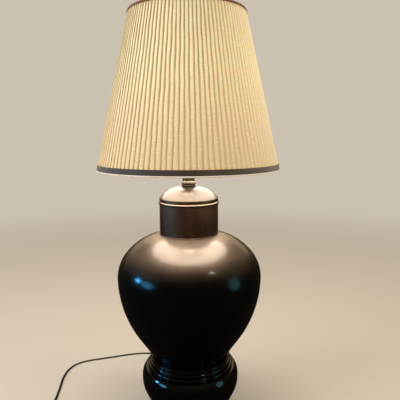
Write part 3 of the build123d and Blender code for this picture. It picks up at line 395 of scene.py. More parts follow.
# Plug: moulded onto the cord, flared to a grip with ribs on both broad sides.
plug_sections = (
    # in mm: distance from the cord's end, width, thickness; and squareness
    (0.0, 8.6, 6.6, 2.2), (0.6, 10.6, 8.6, 2.4), (2.0, 12.0, 9.6, 2.6), (4.5, 13.0, 10.0, 2.8),
    (7.5, 16.5, 11.6, 3.0), (9.5, 21.0, 14.5, 3.4), (11.0, 24.0, 17.4, 3.8),
    # the grip's three grooves
    (13.0, 24.8, 18.4, 4.2), (14.0, 24.9, 17.2, 4.4), (15.0, 24.9, 18.6, 4.4),
    (16.6, 24.9, 18.6, 4.4), (17.4, 24.9, 17.2, 4.4), (18.2, 24.9, 18.7, 4.4),
    (20.0, 24.9, 18.7, 4.4), (20.8, 24.9, 17.2, 4.4), (21.6, 24.9, 18.8, 4.4),
    # its flat front with a rounded edge
    (28.0, 25.0, 19.0, 4.6), (31.6, 25.0, 19.0, 4.6), (32.5, 24.6, 18.6, 4.6), (33.0, 23.4, 17.4, 4.4),
)
plug_sides = 56
plug_rings = []
for along, width, thick, square in plug_sections:
    ring = []
    for k in range(plug_sides):
        a = 2 * pi * k / plug_sides
        c, s = cos(a), sin(a)
        ring.append((
            turn_x + width / 2000 * abs(c) ** (2 / square) * (1 if c > 0 else -1),
            plug_y + along / 1000,
            plug_z + thick / 2000 * abs(s) ** (2 / square) * (1 if s > 0 else -1),
        ))
    plug_rings.append(ring)
plug = piece("plug", skin("plug", plug_rings), cord_pvc, 40)
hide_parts("plug_body")
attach(plug, "lamp")

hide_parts("cord_lead", "cord_coil")
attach(cord, "lamp")

# Blades: stamped brass, drawn bright, with scuffs 0.6 mm wide along their length.
bright_brass, tree, shader = finish_named("drawn_bright_brass", {"Metallic": 1.0})
place = add(tree, "ShaderNodeTexCoord").outputs["Object"]
stretch = add(tree, "ShaderNodeMapping", {"Vector": place, "Scale": (1800, 60, 1800)})
drawn = add(tree, "ShaderNodeTexNoise", {"Vector": stretch, "Scale": 1.0, "Detail": 3.0})
tone = ramp(add(tree, "ShaderNodeValToRGB", {0: drawn}), (0.3, "#C9A65C"), (0.7, "#E0C481"))
gloss = add(tree, "ShaderNodeMapRange", {"Value": drawn, "To Min": 0.16, "To Max": 0.34})
feed(shader, {"Base Color": tone, "Roughness": gloss})


def dress(finish, *names):
    """Give CAD pieces that stay as they are their material."""
    for name in names:
        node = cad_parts[name]
        node.data.materials.clear()
        node.data.materials.append(finish)


dress(bright_brass, "plug_blades")

# ---------------------------------------------------------------- felt pad
# Black pressed wool felt, 2 mm, cut round and glued under the foot. It is matt
# and slightly furry, with tufts about 1 mm wide.
felt, tree, shader = finish_named(
    "pressed_wool_felt", {"Roughness": 1.0, "Sheen Weight": 0.4, "Sheen Roughness": 0.6}
)
place = add(tree, "ShaderNodeTexCoord").outputs["Object"]
fibre = add(tree, "ShaderNodeTexNoise", {"Vector": place, "Scale": 900.0, "Detail": 6.0, "Roughness": 0.8})
tone = ramp(add(tree, "ShaderNodeValToRGB", {0: fibre}), (0.3, "#0F0F10"), (0.7, "#242426"))
nap = add(tree, "ShaderNodeBump", {"Height": fibre, "Strength": 0.6, "Distance": 0.0004})
feed(shader, {"Base Color": tone, "Normal": nap})
dress(felt, "felt_pad")

# ---------------------------------------------------------------- turned base
# One piece of hardwood, turned on a lathe to a half-round foot, a long bulge and
# stepped ridges, then sprayed with gloss black lacquer and rubbed down.


def arc(start, through, end, steps):
    """Points of the circular arc through three points of an outline, the first one left out."""
    (x1, y1), (x2, y2), (x3, y3) = start, through, end
    d = 2 * (x1 * (y2 - y3) + x2 * (y3 - y1) + x3 * (y1 - y2))
    s1, s2, s3 = x1 * x1 + y1 * y1, x2 * x2 + y2 * y2, x3 * x3 + y3 * y3
    cx = (s1 * (y2 - y3) + s2 * (y3 - y1) + s3 * (y1 - y2)) / d
    cy = (s1 * (x3 - x2) + s2 * (x1 - x3) + s3 * (x2 - x1)) / d
    r = hypot(x1 - cx, y1 - cy)
    from_a, mid_a, to_a = (atan2(y - cy, x - cx) for x, y in (start, through, end))
    if (mid_a - from_a) % (2 * pi) < (to_a - from_a) % (2 * pi):
        sweep = (to_a - from_a) % (2 * pi)
    else:
        sweep = -((from_a - to_a) % (2 * pi))
    angles = [from_a + sweep * i / steps for i in range(1, steps + 1)]
    return [(cx + r * cos(a), cy + r * sin(a)) for a in angles]


def walk(start, lean, *runs):
    """Points from start, leaning that many degrees outwards from upright. Each run is (length, 0)
    for a straight line or (radius, degrees) for an arc, positive where it turns inwards."""
    step_turn = 1.25
    (r, z), points = start, [start]
    for size, turn in runs:
        steps = max(1, round(abs(turn) / step_turn))
        stride = 2 * size * sin(radians(abs(turn)) / steps / 2) if turn else size
        for _ in range(steps):
            heading = radians(lean - turn / steps / 2)
            r, z = r + stride * sin(heading), z + stride * cos(heading)
            lean -= turn / steps
            points.append((r, z))
    return points


def at(r, angle, z):
    """A point in metres from a radius and a height in mm and an angle about the lamp's axis."""
    return (r * cos(angle) / 1000, r * sin(angle) / 1000, z / 1000)


def turned(name, outline, finish, around=192, sharp=35, rounded=0.0):
    """A piece turned about the lamp's axis from its section, (radius, height) points in mm, closed.
    Its attribute wear is 1 on crests and edges that a cloth rubs, and 0 on flat and hollow parts."""
    rings = []
    for r, z in outline:
        spots = around if r > 1e-6 else 1
        rings.append([at(r, 2 * pi * k / spots, z) for k in range(spots)])
    mesh = skin(name, rings, loop=True)
    made = piece(name, mesh, finish, sharp)
    sharpest, shortest = 0.25, 0.2
    values = []
    for i, here in enumerate(outline):
        before, after = Vector(outline[i - 1]), Vector(outline[(i + 1) % len(outline)])
        run_in, run_out = Vector(here) - before, after - Vector(here)
        bend = run_in.cross(run_out) / max(run_in.length * run_out.length, 1e-9)
        bend /= max((run_in.length + run_out.length) / 2, shortest)
        values += [min(max(bend / sharpest, 0), 1)] * len(rings[i])
    mesh.attributes.new("wear", "FLOAT", "POINT").data.foreach_set("value", values)
    if rounded:
        edge = made.modifiers.new("rounded", "BEVEL")
        edge.width = rounded / 1000
        edge.segments = 2
        edge.limit_method = "ANGLE"
        edge.angle_limit = radians(30)
    return made


pipe_hole_r = 4.95
felt_top, foot_top, base_top = 2.0, 13.0, 138.0
recess_r, recess_top = 62.0, 40.0
foot_r, cove_r, cove_top = 81.0, 78.59, 16.0
jar_seat_r, jar_seat = 75.05, 132.0
lip_r, lip_low = 82.0, 136.0

base_outline = [(pipe_hole_r, recess_top), (recess_r, recess_top), (recess_r, felt_top), (foot_r, felt_top)]
base_outline += arc((foot_r, felt_top), (84.0, 7.5), (foot_r, foot_top), 16)
base_outline += [(cove_r, foot_top), (cove_r, cove_top)]
base_outline += walk(
    (80.09, cove_top), 0.0, (8.9, 0), (43.6, -26.0), (24.3, 0), (55.0, 26.0), (6.0, 0), (32.0, 41.0)
)
ridge_z = 117.0
groove_w, ridge_out = 1.5, 2.4
for ridge_r, ridge_h in ((88.8, 6.0), (85.2, 5.5)):
    root_r = ridge_r - ridge_out
    low_z = ridge_z + groove_w
    base_outline += [(root_r, ridge_z), (root_r, low_z)]
    base_outline += arc((root_r, low_z), (ridge_r, low_z + ridge_h / 2), (root_r, low_z + ridge_h), 14)
    ridge_z = low_z + ridge_h
base_outline += [(lip_r, ridge_z), (lip_r, lip_low)]
base_outline += arc((lip_r, lip_low), (81.414, 137.414), (80.0, base_top), 8)
base_outline += [(jar_seat_r, base_top), (jar_seat_r, jar_seat), (pipe_hole_r, jar_seat)]

# Gloss black lacquer, sprayed and rubbed: nearly black with a warm brown where the
# crests are rubbed thin in patches of 30 mm, 8 mm cloth marks and a 3 mm orange peel.
lacquer, tree, shader = finish_named(
    "gloss_black_lacquer", {"IOR": 1.45, "Coat Weight": 0.8, "Coat Roughness": 0.05}
)
place = add(tree, "ShaderNodeTexCoord").outputs["Object"]
patch = add(tree, "ShaderNodeTexNoise", {"Vector": place, "Scale": 34.0, "Detail": 5.0, "Roughness": 0.6})
rubbed = add(tree, "ShaderNodeAttribute", attribute_name="wear")
worn = add(tree, "ShaderNodeMath", {0: rubbed.outputs["Fac"], 1: patch}, operation="MULTIPLY")
tone = ramp(add(tree, "ShaderNodeValToRGB", {0: worn}), (0.12, "#020202"), (0.62, "#060403"))
marks = add(tree, "ShaderNodeTexNoise", {"Vector": place, "Scale": 120.0, "Detail": 6.0, "Roughness": 0.75})
gloss = add(
    tree,
    "ShaderNodeMapRange",
    {"Value": marks, "From Min": 0.35, "From Max": 0.75, "To Min": 0.07, "To Max": 0.19},
)
peel = add(tree, "ShaderNodeTexNoise", {"Vector": place, "Scale": 330.0, "Detail": 1.0})
skin_bump = add(tree, "ShaderNodeBump", {"Height": peel, "Strength": 0.10, "Distance": 0.0004})
feed(shader, {"Base Color": tone, "Roughness": gloss, "Normal": skin_bump})

base = turned("lacquered_base", base_outline, lacquer, sharp=40, rounded=0.35)
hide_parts("turned_base")
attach(base, "lamp")

# ---------------------------------------------------------------- pipe, washer and nuts
# A threaded steel tube runs up the middle and clamps the stack between its two
# nuts. The tube, the lower nut and the washer are zinc plated, the upper nut brassed.

# Bright zinc plate: light grey metal with a cloudy bloom in 3 mm patches.
zinc, tree, shader = finish_named("bright_zinc_plate", {"Metallic": 1.0})
place = add(tree, "ShaderNodeTexCoord").outputs["Object"]
bloom = add(tree, "ShaderNodeTexNoise", {"Vector": place, "Scale": 300.0, "Detail": 4.0})
tone = ramp(add(tree, "ShaderNodeValToRGB", {0: bloom}), (0.3, "#9C9D9B"), (0.7, "#C9CAC6"))
gloss = add(tree, "ShaderNodeMapRange", {"Value": bloom, "To Min": 0.28, "To Max": 0.46})
feed(shader, {"Base Color": tone, "Roughness": gloss})
dress(zinc, "base_washer", "base_locknut", "lamp_pipe", "cap_setscrew", "switch_stem", "bulb_tip")

# Steel with a thin brass plate, browned with age: old gold, slightly cloudy, in
# patches of 12 mm.
brassed, tree, shader = finish_named("brass_plated_steel", {"Metallic": 1.0})
place = add(tree, "ShaderNodeTexCoord").outputs["Object"]
cloud = add(tree, "ShaderNodeTexNoise", {"Vector": place, "Scale": 85.0, "Detail": 5.0, "Roughness": 0.65})
tone = ramp(
    add(tree, "ShaderNodeValToRGB", {0: cloud}), (0.28, "#604A28"), (0.62, "#80683A"), (0.8, "#927C50")
)
gloss = add(tree, "ShaderNodeMapRange", {"Value": cloud, "To Min": 0.2, "To Max": 0.38})
feed(shader, {"Base Color": tone, "Roughness": gloss})
dress(brassed, "neck_locknut", "harp_saddle", "harp_wire", "harp_sleeve_left", "harp_sleeve_right")

# ---------------------------------------------------------------- jar body
# Spun from one sheet of brass, 1.2 mm thick, and patinated to a dark antique
# bronze. The shoulder is a warm satin, with a painted highlight of the lit shade's light in its colour.
jar_wall = 1.2
jar_lean = 34.0
mouth_r = 56.0
jar_runs = ((67.5, 0), (222.0, 32.5), (76.0, 40.0), (110.4, 43.5))
inner_runs = [(size - jar_wall if turn else size, turn) for size, turn in jar_runs]
jar_outline = walk((70.4, jar_seat), jar_lean, *jar_runs)
jar_inside = walk((69.76, jar_seat + jar_wall), jar_lean, *inner_runs)
shoulder_z = jar_outline[-1][1]
jar_outline += [(mouth_r, shoulder_z), (mouth_r, jar_inside[-1][1])]
jar_outline += jar_inside[::-1]
jar_outline += [(pipe_hole_r, jar_seat + jar_wall), (pipe_hole_r, jar_seat)]

# Antique bronze patina under a thin wax, mottled in patches of 60 mm: near black below, then
# brown and pale up the shoulder, a painted highlight of the lit shade's light over the patina's tone.
bronze, tree, shader = finish_named(
    "antique_bronze_with_painted_shoulder_light",
    {
        "Metallic": 0.72,
        "Coat Weight": 1.0,
        "Coat Roughness": 0.18,
        "Specular Tint": colour("#8A7A6A"),
    },
)
place = add(tree, "ShaderNodeTexCoord").outputs["Object"]
height = add(tree, "ShaderNodeSeparateXYZ", {0: place}).outputs["Z"]
mottle = add(tree, "ShaderNodeTexNoise", {"Vector": place, "Scale": 16.0, "Detail": 6.0, "Roughness": 0.6})
sway = add(tree, "ShaderNodeMath", {0: mottle, 1: 0.02, 2: height}, operation="MULTIPLY_ADD")
rise = add(tree, "ShaderNodeMapRange", {"Value": sway, "From Min": 0.340, "From Max": 0.410})
# painted highlight: the colour turns brown and then pale up the shoulder, under the lit shade
tone = ramp(
    add(tree, "ShaderNodeValToRGB", {0: rise}),
    (0.0, "#0B0908"),
    (0.11, "#211A14"),
    (0.29, "#4E4034"),
    (0.52, "#7C6D5E"),
    (0.8, "#7C6F63"),
    (0.96, "#B5A495"),
)
# spinning marks, 0.8 mm apart, run round the jar, and 18 mm clouds lie over them
round_jar = add(tree, "ShaderNodeMapping", {"Vector": place, "Scale": (4, 4, 1250)})
spun = add(tree, "ShaderNodeTexNoise", {"Vector": round_jar, "Scale": 1.0, "Detail": 2.0})
cloud = add(tree, "ShaderNodeTexNoise", {"Vector": place, "Scale": 55.0, "Detail": 5.0, "Roughness": 0.7})
both = add(tree, "ShaderNodeMath", {0: spun, 1: cloud}, operation="ADD")
gloss = add(
    tree,
    "ShaderNodeMapRange",
    {"Value": both, "From Min": 0.6, "From Max": 1.4, "To Min": 0.42, "To Max": 0.52},
)
marks = add(tree, "ShaderNodeBump", {"Height": spun, "Strength": 0.05, "Distance": 0.0003})
feed(shader, {"Base Color": tone, "Roughness": gloss, "Normal": marks})

jar = turned("spun_jar", jar_outline, bronze, around=256)
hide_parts("jar_body")
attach(jar, "lamp")

# ---------------------------------------------------------------- jar neck
# A plain brass tube soldered upright on the shoulder, with a fine bead round its
# foot. The patina stays dark and brown here, and its edges are rubbed paler.
neck_r, neck_bore_r = 59.0, 57.8
neck_low, neck_top = shoulder_z + 0.02, 458.19
neck_outline = [(neck_r, neck_top), (neck_bore_r, neck_top), (neck_bore_r, neck_low), (58.9, neck_low)]
neck_outline += arc((58.9, neck_low), (59.9, shoulder_z + 0.92), (neck_r, shoulder_z + 1.8), 10)

# Dark bronze patina: brown mottling in patches of 38 mm over 0.7 mm brush marks.
dark_patina, tree, shader = finish_named("dark_bronze_patina", {"Metallic": 1.0})
place = add(tree, "ShaderNodeTexCoord").outputs["Object"]
mottle = add(tree, "ShaderNodeTexNoise", {"Vector": place, "Scale": 26.0, "Detail": 5.0, "Roughness": 0.6})
tone = ramp(add(tree, "ShaderNodeValToRGB", {0: mottle}), (0.3, "#583F30"), (0.7, "#7E5E48"))
rubbed = add(tree, "ShaderNodeAttribute", attribute_name="wear")
bare = add(
    tree,
    "ShaderNodeMix",
    {"Factor": rubbed.outputs["Fac"], colour_a: tone, colour_b: colour("#7C6A5C")},
    data_type="RGBA",
)
brush = add(tree, "ShaderNodeMapping", {"Vector": place, "Scale": (6, 6, 1400)})
fine = add(tree, "ShaderNodeTexNoise", {"Vector": brush, "Scale": 1.0, "Detail": 2.0})
gloss = add(tree, "ShaderNodeMapRange", {"Value": fine, "To Min": 0.45, "To Max": 0.6})
feed(shader, {"Base Color": bare.outputs[mixed], "Roughness": gloss})

neck = turned("jar_neck_tube", neck_outline, dark_patina, rounded=0.15)
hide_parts("jar_neck")
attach(neck, "lamp")

# ---------------------------------------------------------------- lid
# Spun in one with a short band and a rolled bead that sits on the neck's edge.
# The dome is buffed bright, so it mirrors the lit shade above it.
bead_z = 460.79
band_r, band_top = 59.0, 469.59
lid_top = 492.466
lid_wall = 1.2
skirt_r, skirt_low = 57.6, 445.2
lid_inner_r = 56.5
seat_r = 15.5
dome_r, rim_r = 150.0, 50.28
seat_slope = degrees(asin(seat_r / dome_r))
dome_turn, rim_turn = seat_slope - 10.0, -46.0
dome = walk((seat_r, lid_top), 90 + seat_slope, (dome_r, dome_turn), (rim_r, rim_turn))
lid_outline = [(pipe_hole_r, lid_top - lid_wall), (pipe_hole_r, lid_top)] + dome
lid_outline += [(band_r, band_top - 0.4), (band_r, bead_z + 2.5)]
lid_outline += arc((band_r, bead_z + 2.5), (61.5, bead_z), (band_r, bead_z - 2.5), 16)
lid_outline += [(57.9, bead_z - 2.0), (skirt_r, skirt_low)]
lid_outline += [(lid_inner_r, skirt_low), (lid_inner_r, band_top - 2.0)]
inner_dome = walk(
    (15.38, lid_top - lid_wall), 90 + seat_slope, (dome_r - lid_wall, dome_turn), (rim_r - lid_wall, rim_turn)
)
lid_outline += inner_dome[-2::-1]

# Bronze, buffed and then tarnished a little in patches of 24 mm: a painted shade on the bead's
# underside and a painted highlight along its top, warm brown on the band, greyer up the dome.
buffed, tree, shader = finish_named("buffed_bronze", {"Metallic": 0.85})
place = add(tree, "ShaderNodeTexCoord").outputs["Object"]
height = add(tree, "ShaderNodeSeparateXYZ", {0: place}).outputs["Z"]
tarnish = add(tree, "ShaderNodeTexNoise", {"Vector": place, "Scale": 42.0, "Detail": 6.0, "Roughness": 0.65})
sway = add(tree, "ShaderNodeMath", {0: tarnish, 1: 0.0015, 2: height}, operation="MULTIPLY_ADD")
rise = add(tree, "ShaderNodeMapRange", {"Value": sway, "From Min": 0.4583, "From Max": 0.4775})
# painted shade under the bead and a painted highlight on its top, set by height
tone = ramp(
    add(tree, "ShaderNodeValToRGB", {0: rise}),
    (0.0, "#241C17"),
    (0.13, "#2E241E"),
    (0.17, "#A4957F"),
    (0.26, "#96866F"),
    (0.31, "#6E5440"),
    (0.57, "#7C604A"),
    (0.66, "#685F56"),
    (0.95, "#716860"),
)
gloss = add(
    tree,
    "ShaderNodeMapRange",
    {"Value": tarnish, "From Min": 0.3, "From Max": 0.7, "To Min": 0.27, "To Max": 0.34},
)
feed(shader, {"Base Color": tone, "Roughness": gloss})

lid = turned("spun_lid", lid_outline, buffed, around=224, rounded=0.12)
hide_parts("lid")
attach(lid, "lamp")

# ---------------------------------------------------------------- check ring and spool neck
# Two small turned brass pieces that cover the pipe: a round-edged ring on the
# dome and a waisted spool with a lip at both ends, both with a dark patina.

# Olive bronze patina: dark on the ring, olive up the spool, mottled in patches of 11 mm, with a
# painted highlight on the spool's lower lip where the two pieces meet.
olive_patina, tree, shader = finish_named("olive_bronze_patina", {"Metallic": 1.0})
place = add(tree, "ShaderNodeTexCoord").outputs["Object"]
height = add(tree, "ShaderNodeSeparateXYZ", {0: place}).outputs["Z"]
rise = add(tree, "ShaderNodeMapRange", {"Value": height, "From Min": 0.492, "From Max": 0.508})
# painted highlight: the pale stops fall on the spool's lower lip
patina = ramp(
    add(tree, "ShaderNodeValToRGB", {0: rise}),
    (0.0, "#3C352A"),
    (0.52, "#423B2F"),
    (0.55, "#A89E86"),
    (0.69, "#A0967E"),
    (0.73, "#342D18"),
    (1.0, "#3C351D"),
)
mottle = add(tree, "ShaderNodeTexNoise", {"Vector": place, "Scale": 90.0, "Detail": 5.0})
spread = add(
    tree,
    "ShaderNodeMapRange",
    {"Value": mottle, "From Min": 0.3, "From Max": 0.7, "To Min": 0.8, "To Max": 1.2},
)
multiplied = {"data_type": "RGBA", "blend_type": "MULTIPLY"}
tone = add(tree, "ShaderNodeMix", {"Factor": 1.0, colour_a: patina, colour_b: spread}, **multiplied)
gloss = add(tree, "ShaderNodeMapRange", {"Value": mottle, "To Min": 0.34, "To Max": 0.5})
feed(shader, {"Base Color": tone.outputs[mixed], "Roughness": gloss})

ring_hole_r = 5.0
ring_low, ring_top = lid_top, lid_top + 8.0
ring_outline = [(ring_hole_r, ring_low), (13.0, ring_low)]
ring_outline += arc((13.0, ring_low), (14.75, ring_low + 2.0), (13.1, ring_low + 3.9), 12)
ring_outline += arc((13.1, ring_low + 4.1), (14.75, ring_low + 6.0), (13.0, ring_top), 12)
ring_outline += [(ring_hole_r, ring_top)]
check_ring = turned("turned_ring", ring_outline, olive_patina, around=96)
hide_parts("check_ring")
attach(check_ring, "lamp")

spool_low, spool_top = ring_top, ring_top + 25.4
waist_z = (spool_low + spool_top) / 2
spool_outline = [(ring_hole_r, spool_low), (12.6, spool_low)]
spool_outline += arc((12.6, spool_low), (12.9, spool_low + 0.9), (12.75, spool_low + 2.0), 6)
spool_outline += arc((12.5, spool_low + 2.2), (11.9, waist_z), (12.5, spool_top - 2.2), 16)
spool_outline += arc((12.75, spool_top - 2.0), (12.9, spool_top - 0.9), (12.6, spool_top), 6)
spool_outline += [(ring_hole_r, spool_top)]
spool = turned("turned_spool", spool_outline, olive_patina, around=96)
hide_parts("spool_neck")
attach(spool, "lamp")

# ---------------------------------------------------------------- socket
# A turn-knob socket: drawn brass cap and shell over a fibre liner and a moulded
# body, with the set screw, two wire screws and the bulb's screw shell.

# Drawn brass, browned: old gold with 0.5 mm marks round it, tarnished in 8 mm patches.
socket_brass, tree, shader = finish_named("drawn_socket_brass", {"Metallic": 1.0})
place = add(tree, "ShaderNodeTexCoord").outputs["Object"]
round_marks = add(tree, "ShaderNodeMapping", {"Vector": place, "Scale": (30, 30, 2200)})
drawn = add(tree, "ShaderNodeTexNoise", {"Vector": round_marks, "Scale": 1.0, "Detail": 3.0})
tarnish = add(tree, "ShaderNodeTexNoise", {"Vector": place, "Scale": 120.0, "Detail": 5.0})
tone = ramp(add(tree, "ShaderNodeValToRGB", {0: tarnish}), (0.3, "#6C5327"), (0.7, "#8A7039"))
gloss = add(tree, "ShaderNodeMapRange", {"Value": drawn, "To Min": 0.17, "To Max": 0.33})
feed(shader, {"Base Color": tone, "Roughness": gloss})
dress(
    socket_brass,
    "socket_cap", "socket_shell", "screw_shell", "centre_contact", "terminal_screws", "harp_stud",
)

# Vulcanised fibre board: grey-brown, matt, with 2 mm fibres pressed into it.
fibre_board, tree, shader = finish_named("vulcanised_fibre", {"Roughness": 0.8})
place = add(tree, "ShaderNodeTexCoord").outputs["Object"]
fibre = add(tree, "ShaderNodeTexNoise", {"Vector": place, "Scale": 500.0, "Detail": 5.0})
tone = ramp(add(tree, "ShaderNodeValToRGB", {0: fibre}), (0.3, "#332C27"), (0.7, "#4E453C"))
feed(shader, {"Base Color": tone})
dress(fibre_board, "socket_insulator")

# Phenolic resin, compression moulded: brown-black, a hard satin with 7 mm flow marks.
phenolic, tree, shader = finish_named("moulded_phenolic", {"IOR": 1.6})
place = add(tree, "ShaderNodeTexCoord").outputs["Object"]
flow = add(tree, "ShaderNodeTexNoise", {"Vector": place, "Scale": 150.0, "Detail": 4.0, "Distortion": 1.2})
tone = ramp(add(tree, "ShaderNodeValToRGB", {0: flow}), (0.3, "#120E0C"), (0.75, "#241B16"))
gloss = add(tree, "ShaderNodeMapRange", {"Value": flow, "To Min": 0.22, "To Max": 0.36})
feed(shader, {"Base Color": tone, "Roughness": gloss})
dress(phenolic, "socket_body", "switch_key")

# Inner cord between the bushing and the socket, the same sheath.
dress(cord_pvc, "inner_cord")

# ---------------------------------------------------------------- bulb
# A 60 mm frosted glass globe, lit, on a rolled aluminium screw cap. The frosting
# spreads the light, so the whole globe glows a warm white, dimmer at its neck.
lit_glass, tree, shader = finish_named("frosted_lit_glass", {"Roughness": 0.5, "IOR": 1.5})
place = add(tree, "ShaderNodeTexCoord").outputs["Object"]
height = add(tree, "ShaderNodeSeparateXYZ", {0: place}).outputs["Z"]
glow = add(
    tree,
    "ShaderNodeMapRange",
    {"Value": height, "From Min": 0.599, "From Max": 0.632, "To Min": 0.25, "To Max": 1.0},
)
heat = ramp(add(tree, "ShaderNodeValToRGB", {0: glow}), (0.25, "#FFE2BA"), (1.0, "#FFEED6"))
feed(shader, {"Base Color": colour("#F6EFE2"), "Emission Color": heat, "Emission Strength": 15.0})
dress(lit_glass, "bulb_glass")

# Rolled aluminium: pale grey, bright, hazed in 4 mm patches.
cap_aluminium, tree, shader = finish_named("rolled_aluminium", {"Metallic": 1.0})
place = add(tree, "ShaderNodeTexCoord").outputs["Object"]
rolled = add(tree, "ShaderNodeTexNoise", {"Vector": place, "Scale": 260.0, "Detail": 4.0})
tone = ramp(add(tree, "ShaderNodeValToRGB", {0: rolled}), (0.3, "#B9BAB8"), (0.7, "#DCDCD8"))
gloss = add(tree, "ShaderNodeMapRange", {"Value": rolled, "To Min": 0.2, "To Max": 0.36})
feed(shader, {"Base Color": tone, "Roughness": gloss})
dress(cap_aluminium, "bulb_cap")

# ---------------------------------------------------------------- shade frame and liner
# A steel frame, spot welded and dipped in white enamel, holds a cone of off-white
# styrene sheet. The sheet stiffens the shade and spreads the bulb's light.

# Dipped enamel: warm white and glossy, uneven in 9 mm patches where it ran.
enamel, tree, shader = finish_named("white_dipped_enamel", {"IOR": 1.5})
place = add(tree, "ShaderNodeTexCoord").outputs["Object"]
runs = add(tree, "ShaderNodeTexNoise", {"Vector": place, "Scale": 110.0, "Detail": 4.0})
tone = ramp(add(tree, "ShaderNodeValToRGB", {0: runs}), (0.3, "#D8D2C4"), (0.7, "#EBE6DA"))
gloss = add(tree, "ShaderNodeMapRange", {"Value": runs, "To Min": 0.25, "To Max": 0.42})
feed(shader, {"Base Color": tone, "Roughness": gloss})
dress(enamel, "shade_fitter", "bottom_ring")

# Styrene sheet, extruded: off-white and half matt, yellowed in 25 mm clouds.
styrene, tree, shader = finish_named("shade_styrene_sheet_with_painted_glow", {"Roughness": 0.55, "IOR": 1.55})
place = add(tree, "ShaderNodeTexCoord").outputs["Object"]
haze = add(tree, "ShaderNodeTexNoise", {"Vector": place, "Scale": 40.0, "Detail": 4.0})
tone = ramp(add(tree, "ShaderNodeValToRGB", {0: haze}), (0.3, "#EADFC8"), (0.7, "#F3EAD8"))
# painted glow: for mirrored rays alone the sheet glows 4.6 times over, so the metal below shows a
# painted reflection of the lit sheet as the eye sees it by night, brighter than film holds
rays = add(tree, "ShaderNodeLightPath")
power = add(tree, "ShaderNodeMath", {0: rays.outputs["Is Glossy Ray"], 1: 4.6}, operation="MULTIPLY")
feed(shader, {"Base Color": tone, "Emission Color": colour("#FFF6EC"), "Emission Strength": power})
dress(styrene, "shade_liner")

# ---------------------------------------------------------------- pleated cover
# Cream linen, laid in 111 knife pleats and glued to the liner at both edges. Each
# pleat rises slowly to its fold and drops back steeply, and the folds wander.
# mm: the cover's height, and the cloth that lies in one pleat
cover_height = 295.7
pleat_cloth = 15.0

# Woven linen: cream and matt with a soft sheen, lit through from inside.
linen, tree, shader = finish_named(
    "pleated_cream_linen", {"Roughness": 0.92, "Sheen Weight": 0.45, "Sheen Roughness": 0.5}
)
cloth = add(tree, "ShaderNodeAttribute", attribute_name="cloth").outputs["Vector"]
along = add(tree, "ShaderNodeSeparateXYZ", {0: cloth})
fold = add(tree, "ShaderNodeAttribute", attribute_name="fold")
# cloth is in mm: weft threads 0.9 mm apart, coarser than real ones so that they
# show, and slubs, thick places some 20 mm long
threads = add(tree, "ShaderNodeMapping", {"Vector": cloth, "Scale": (0.05, 1.1, 0)})
weft = add(tree, "ShaderNodeTexNoise", {"Vector": threads, "Scale": 1.0, "Detail": 3.0, "Roughness": 0.7})
warp_way = add(tree, "ShaderNodeMapping", {"Vector": cloth, "Scale": (1.3, 0.06, 0)})
warp = add(tree, "ShaderNodeTexNoise", {"Vector": warp_way, "Scale": 1.0, "Detail": 2.0})
slub_way = add(
    tree, "ShaderNodeMapping", {"Vector": cloth, "Scale": (0.05, 0.55, 0), "Location": (7.0, 3.0, 0)}
)
slub = add(tree, "ShaderNodeTexNoise", {"Vector": slub_way, "Scale": 1.0, "Detail": 1.0})
slubs = add(
    tree,
    "ShaderNodeMapRange",
    {"Value": slub, "From Min": 0.62, "From Max": 0.72, "To Min": 0.0, "To Max": 0.8},
)
woven = add(tree, "ShaderNodeMath", {0: weft, 1: warp}, operation="ADD")
woven = add(tree, "ShaderNodeMath", {0: woven, 1: 0.5, 2: slubs}, operation="MULTIPLY_ADD")
share = add(tree, "ShaderNodeMath", {0: along.outputs["Y"], 1: cover_height}, operation="DIVIDE")
# the cloth's crests and its valleys, darkened with painted shade, from the shade's foot to its top
crests = ramp(
    add(tree, "ShaderNodeValToRGB", {0: share}),
    (0.12, "#DBCBA9"),
    (0.3, "#E3D3B3"),
    (0.48, "#E9DDB9"),
    (0.66, "#EEE5BF"),
    (0.85, "#EFE3BC"),
)
valleys = ramp(
    add(tree, "ShaderNodeValToRGB", {0: share}),
    (0.12, "#BAA571"),
    (0.3, "#A99466"),
    (0.48, "#938357"),
    (0.66, "#7D7149"),
    (0.85, "#736642"),
)
# painted shade: the colour darkens from each crest into its valley, where the fold lets least light through
risen = add(tree, "ShaderNodeMapRange", {"Value": fold.outputs["Fac"], "From Min": 0.1, "From Max": 1.0})
fold_painted_shade = add(
    tree, "ShaderNodeMix", {"Factor": risen, colour_a: valleys, colour_b: crests}, data_type="RGBA"
)
shade_of = add(
    tree,
    "ShaderNodeMapRange",
    {"Value": woven, "From Min": 0.3, "From Max": 0.85, "To Min": 0.86, "To Max": 1.1},
)
# the bulb shines through: most near its own height, and warmer than the cloth
lit = ramp(
    add(tree, "ShaderNodeValToRGB", {0: share}),
    (0.0, "#B8B8B8"),
    (0.35, "#CCCCCC"),
    (0.6, "#CECECE"),
    (0.9, "#BABABA"),
    (1.0, "#AEAEAE"),
)
body = add(
    tree, "ShaderNodeMix", {"Factor": 1.0, colour_a: fold_painted_shade.outputs[mixed], colour_b: shade_of}, **multiplied
)
through = add(
    tree, "ShaderNodeMix", {"Factor": 1.0, colour_a: lit, colour_b: body.outputs[mixed]}, **multiplied
)
warmth = add(
    tree,
    "ShaderNodeMix",
    {"Factor": 1.0, colour_a: through.outputs[mixed], colour_b: colour("#FCDBA0")},
    **multiplied,
)
raised = add(tree, "ShaderNodeBump", {"Height": woven, "Strength": 0.35, "Distance": 0.0003})
feed(
    shader,
    {
        "Base Color": body.outputs[mixed],
        "Normal": raised,
        "Emission Color": warmth.outputs[mixed],
        "Emission Strength": 0.68,
    },
)

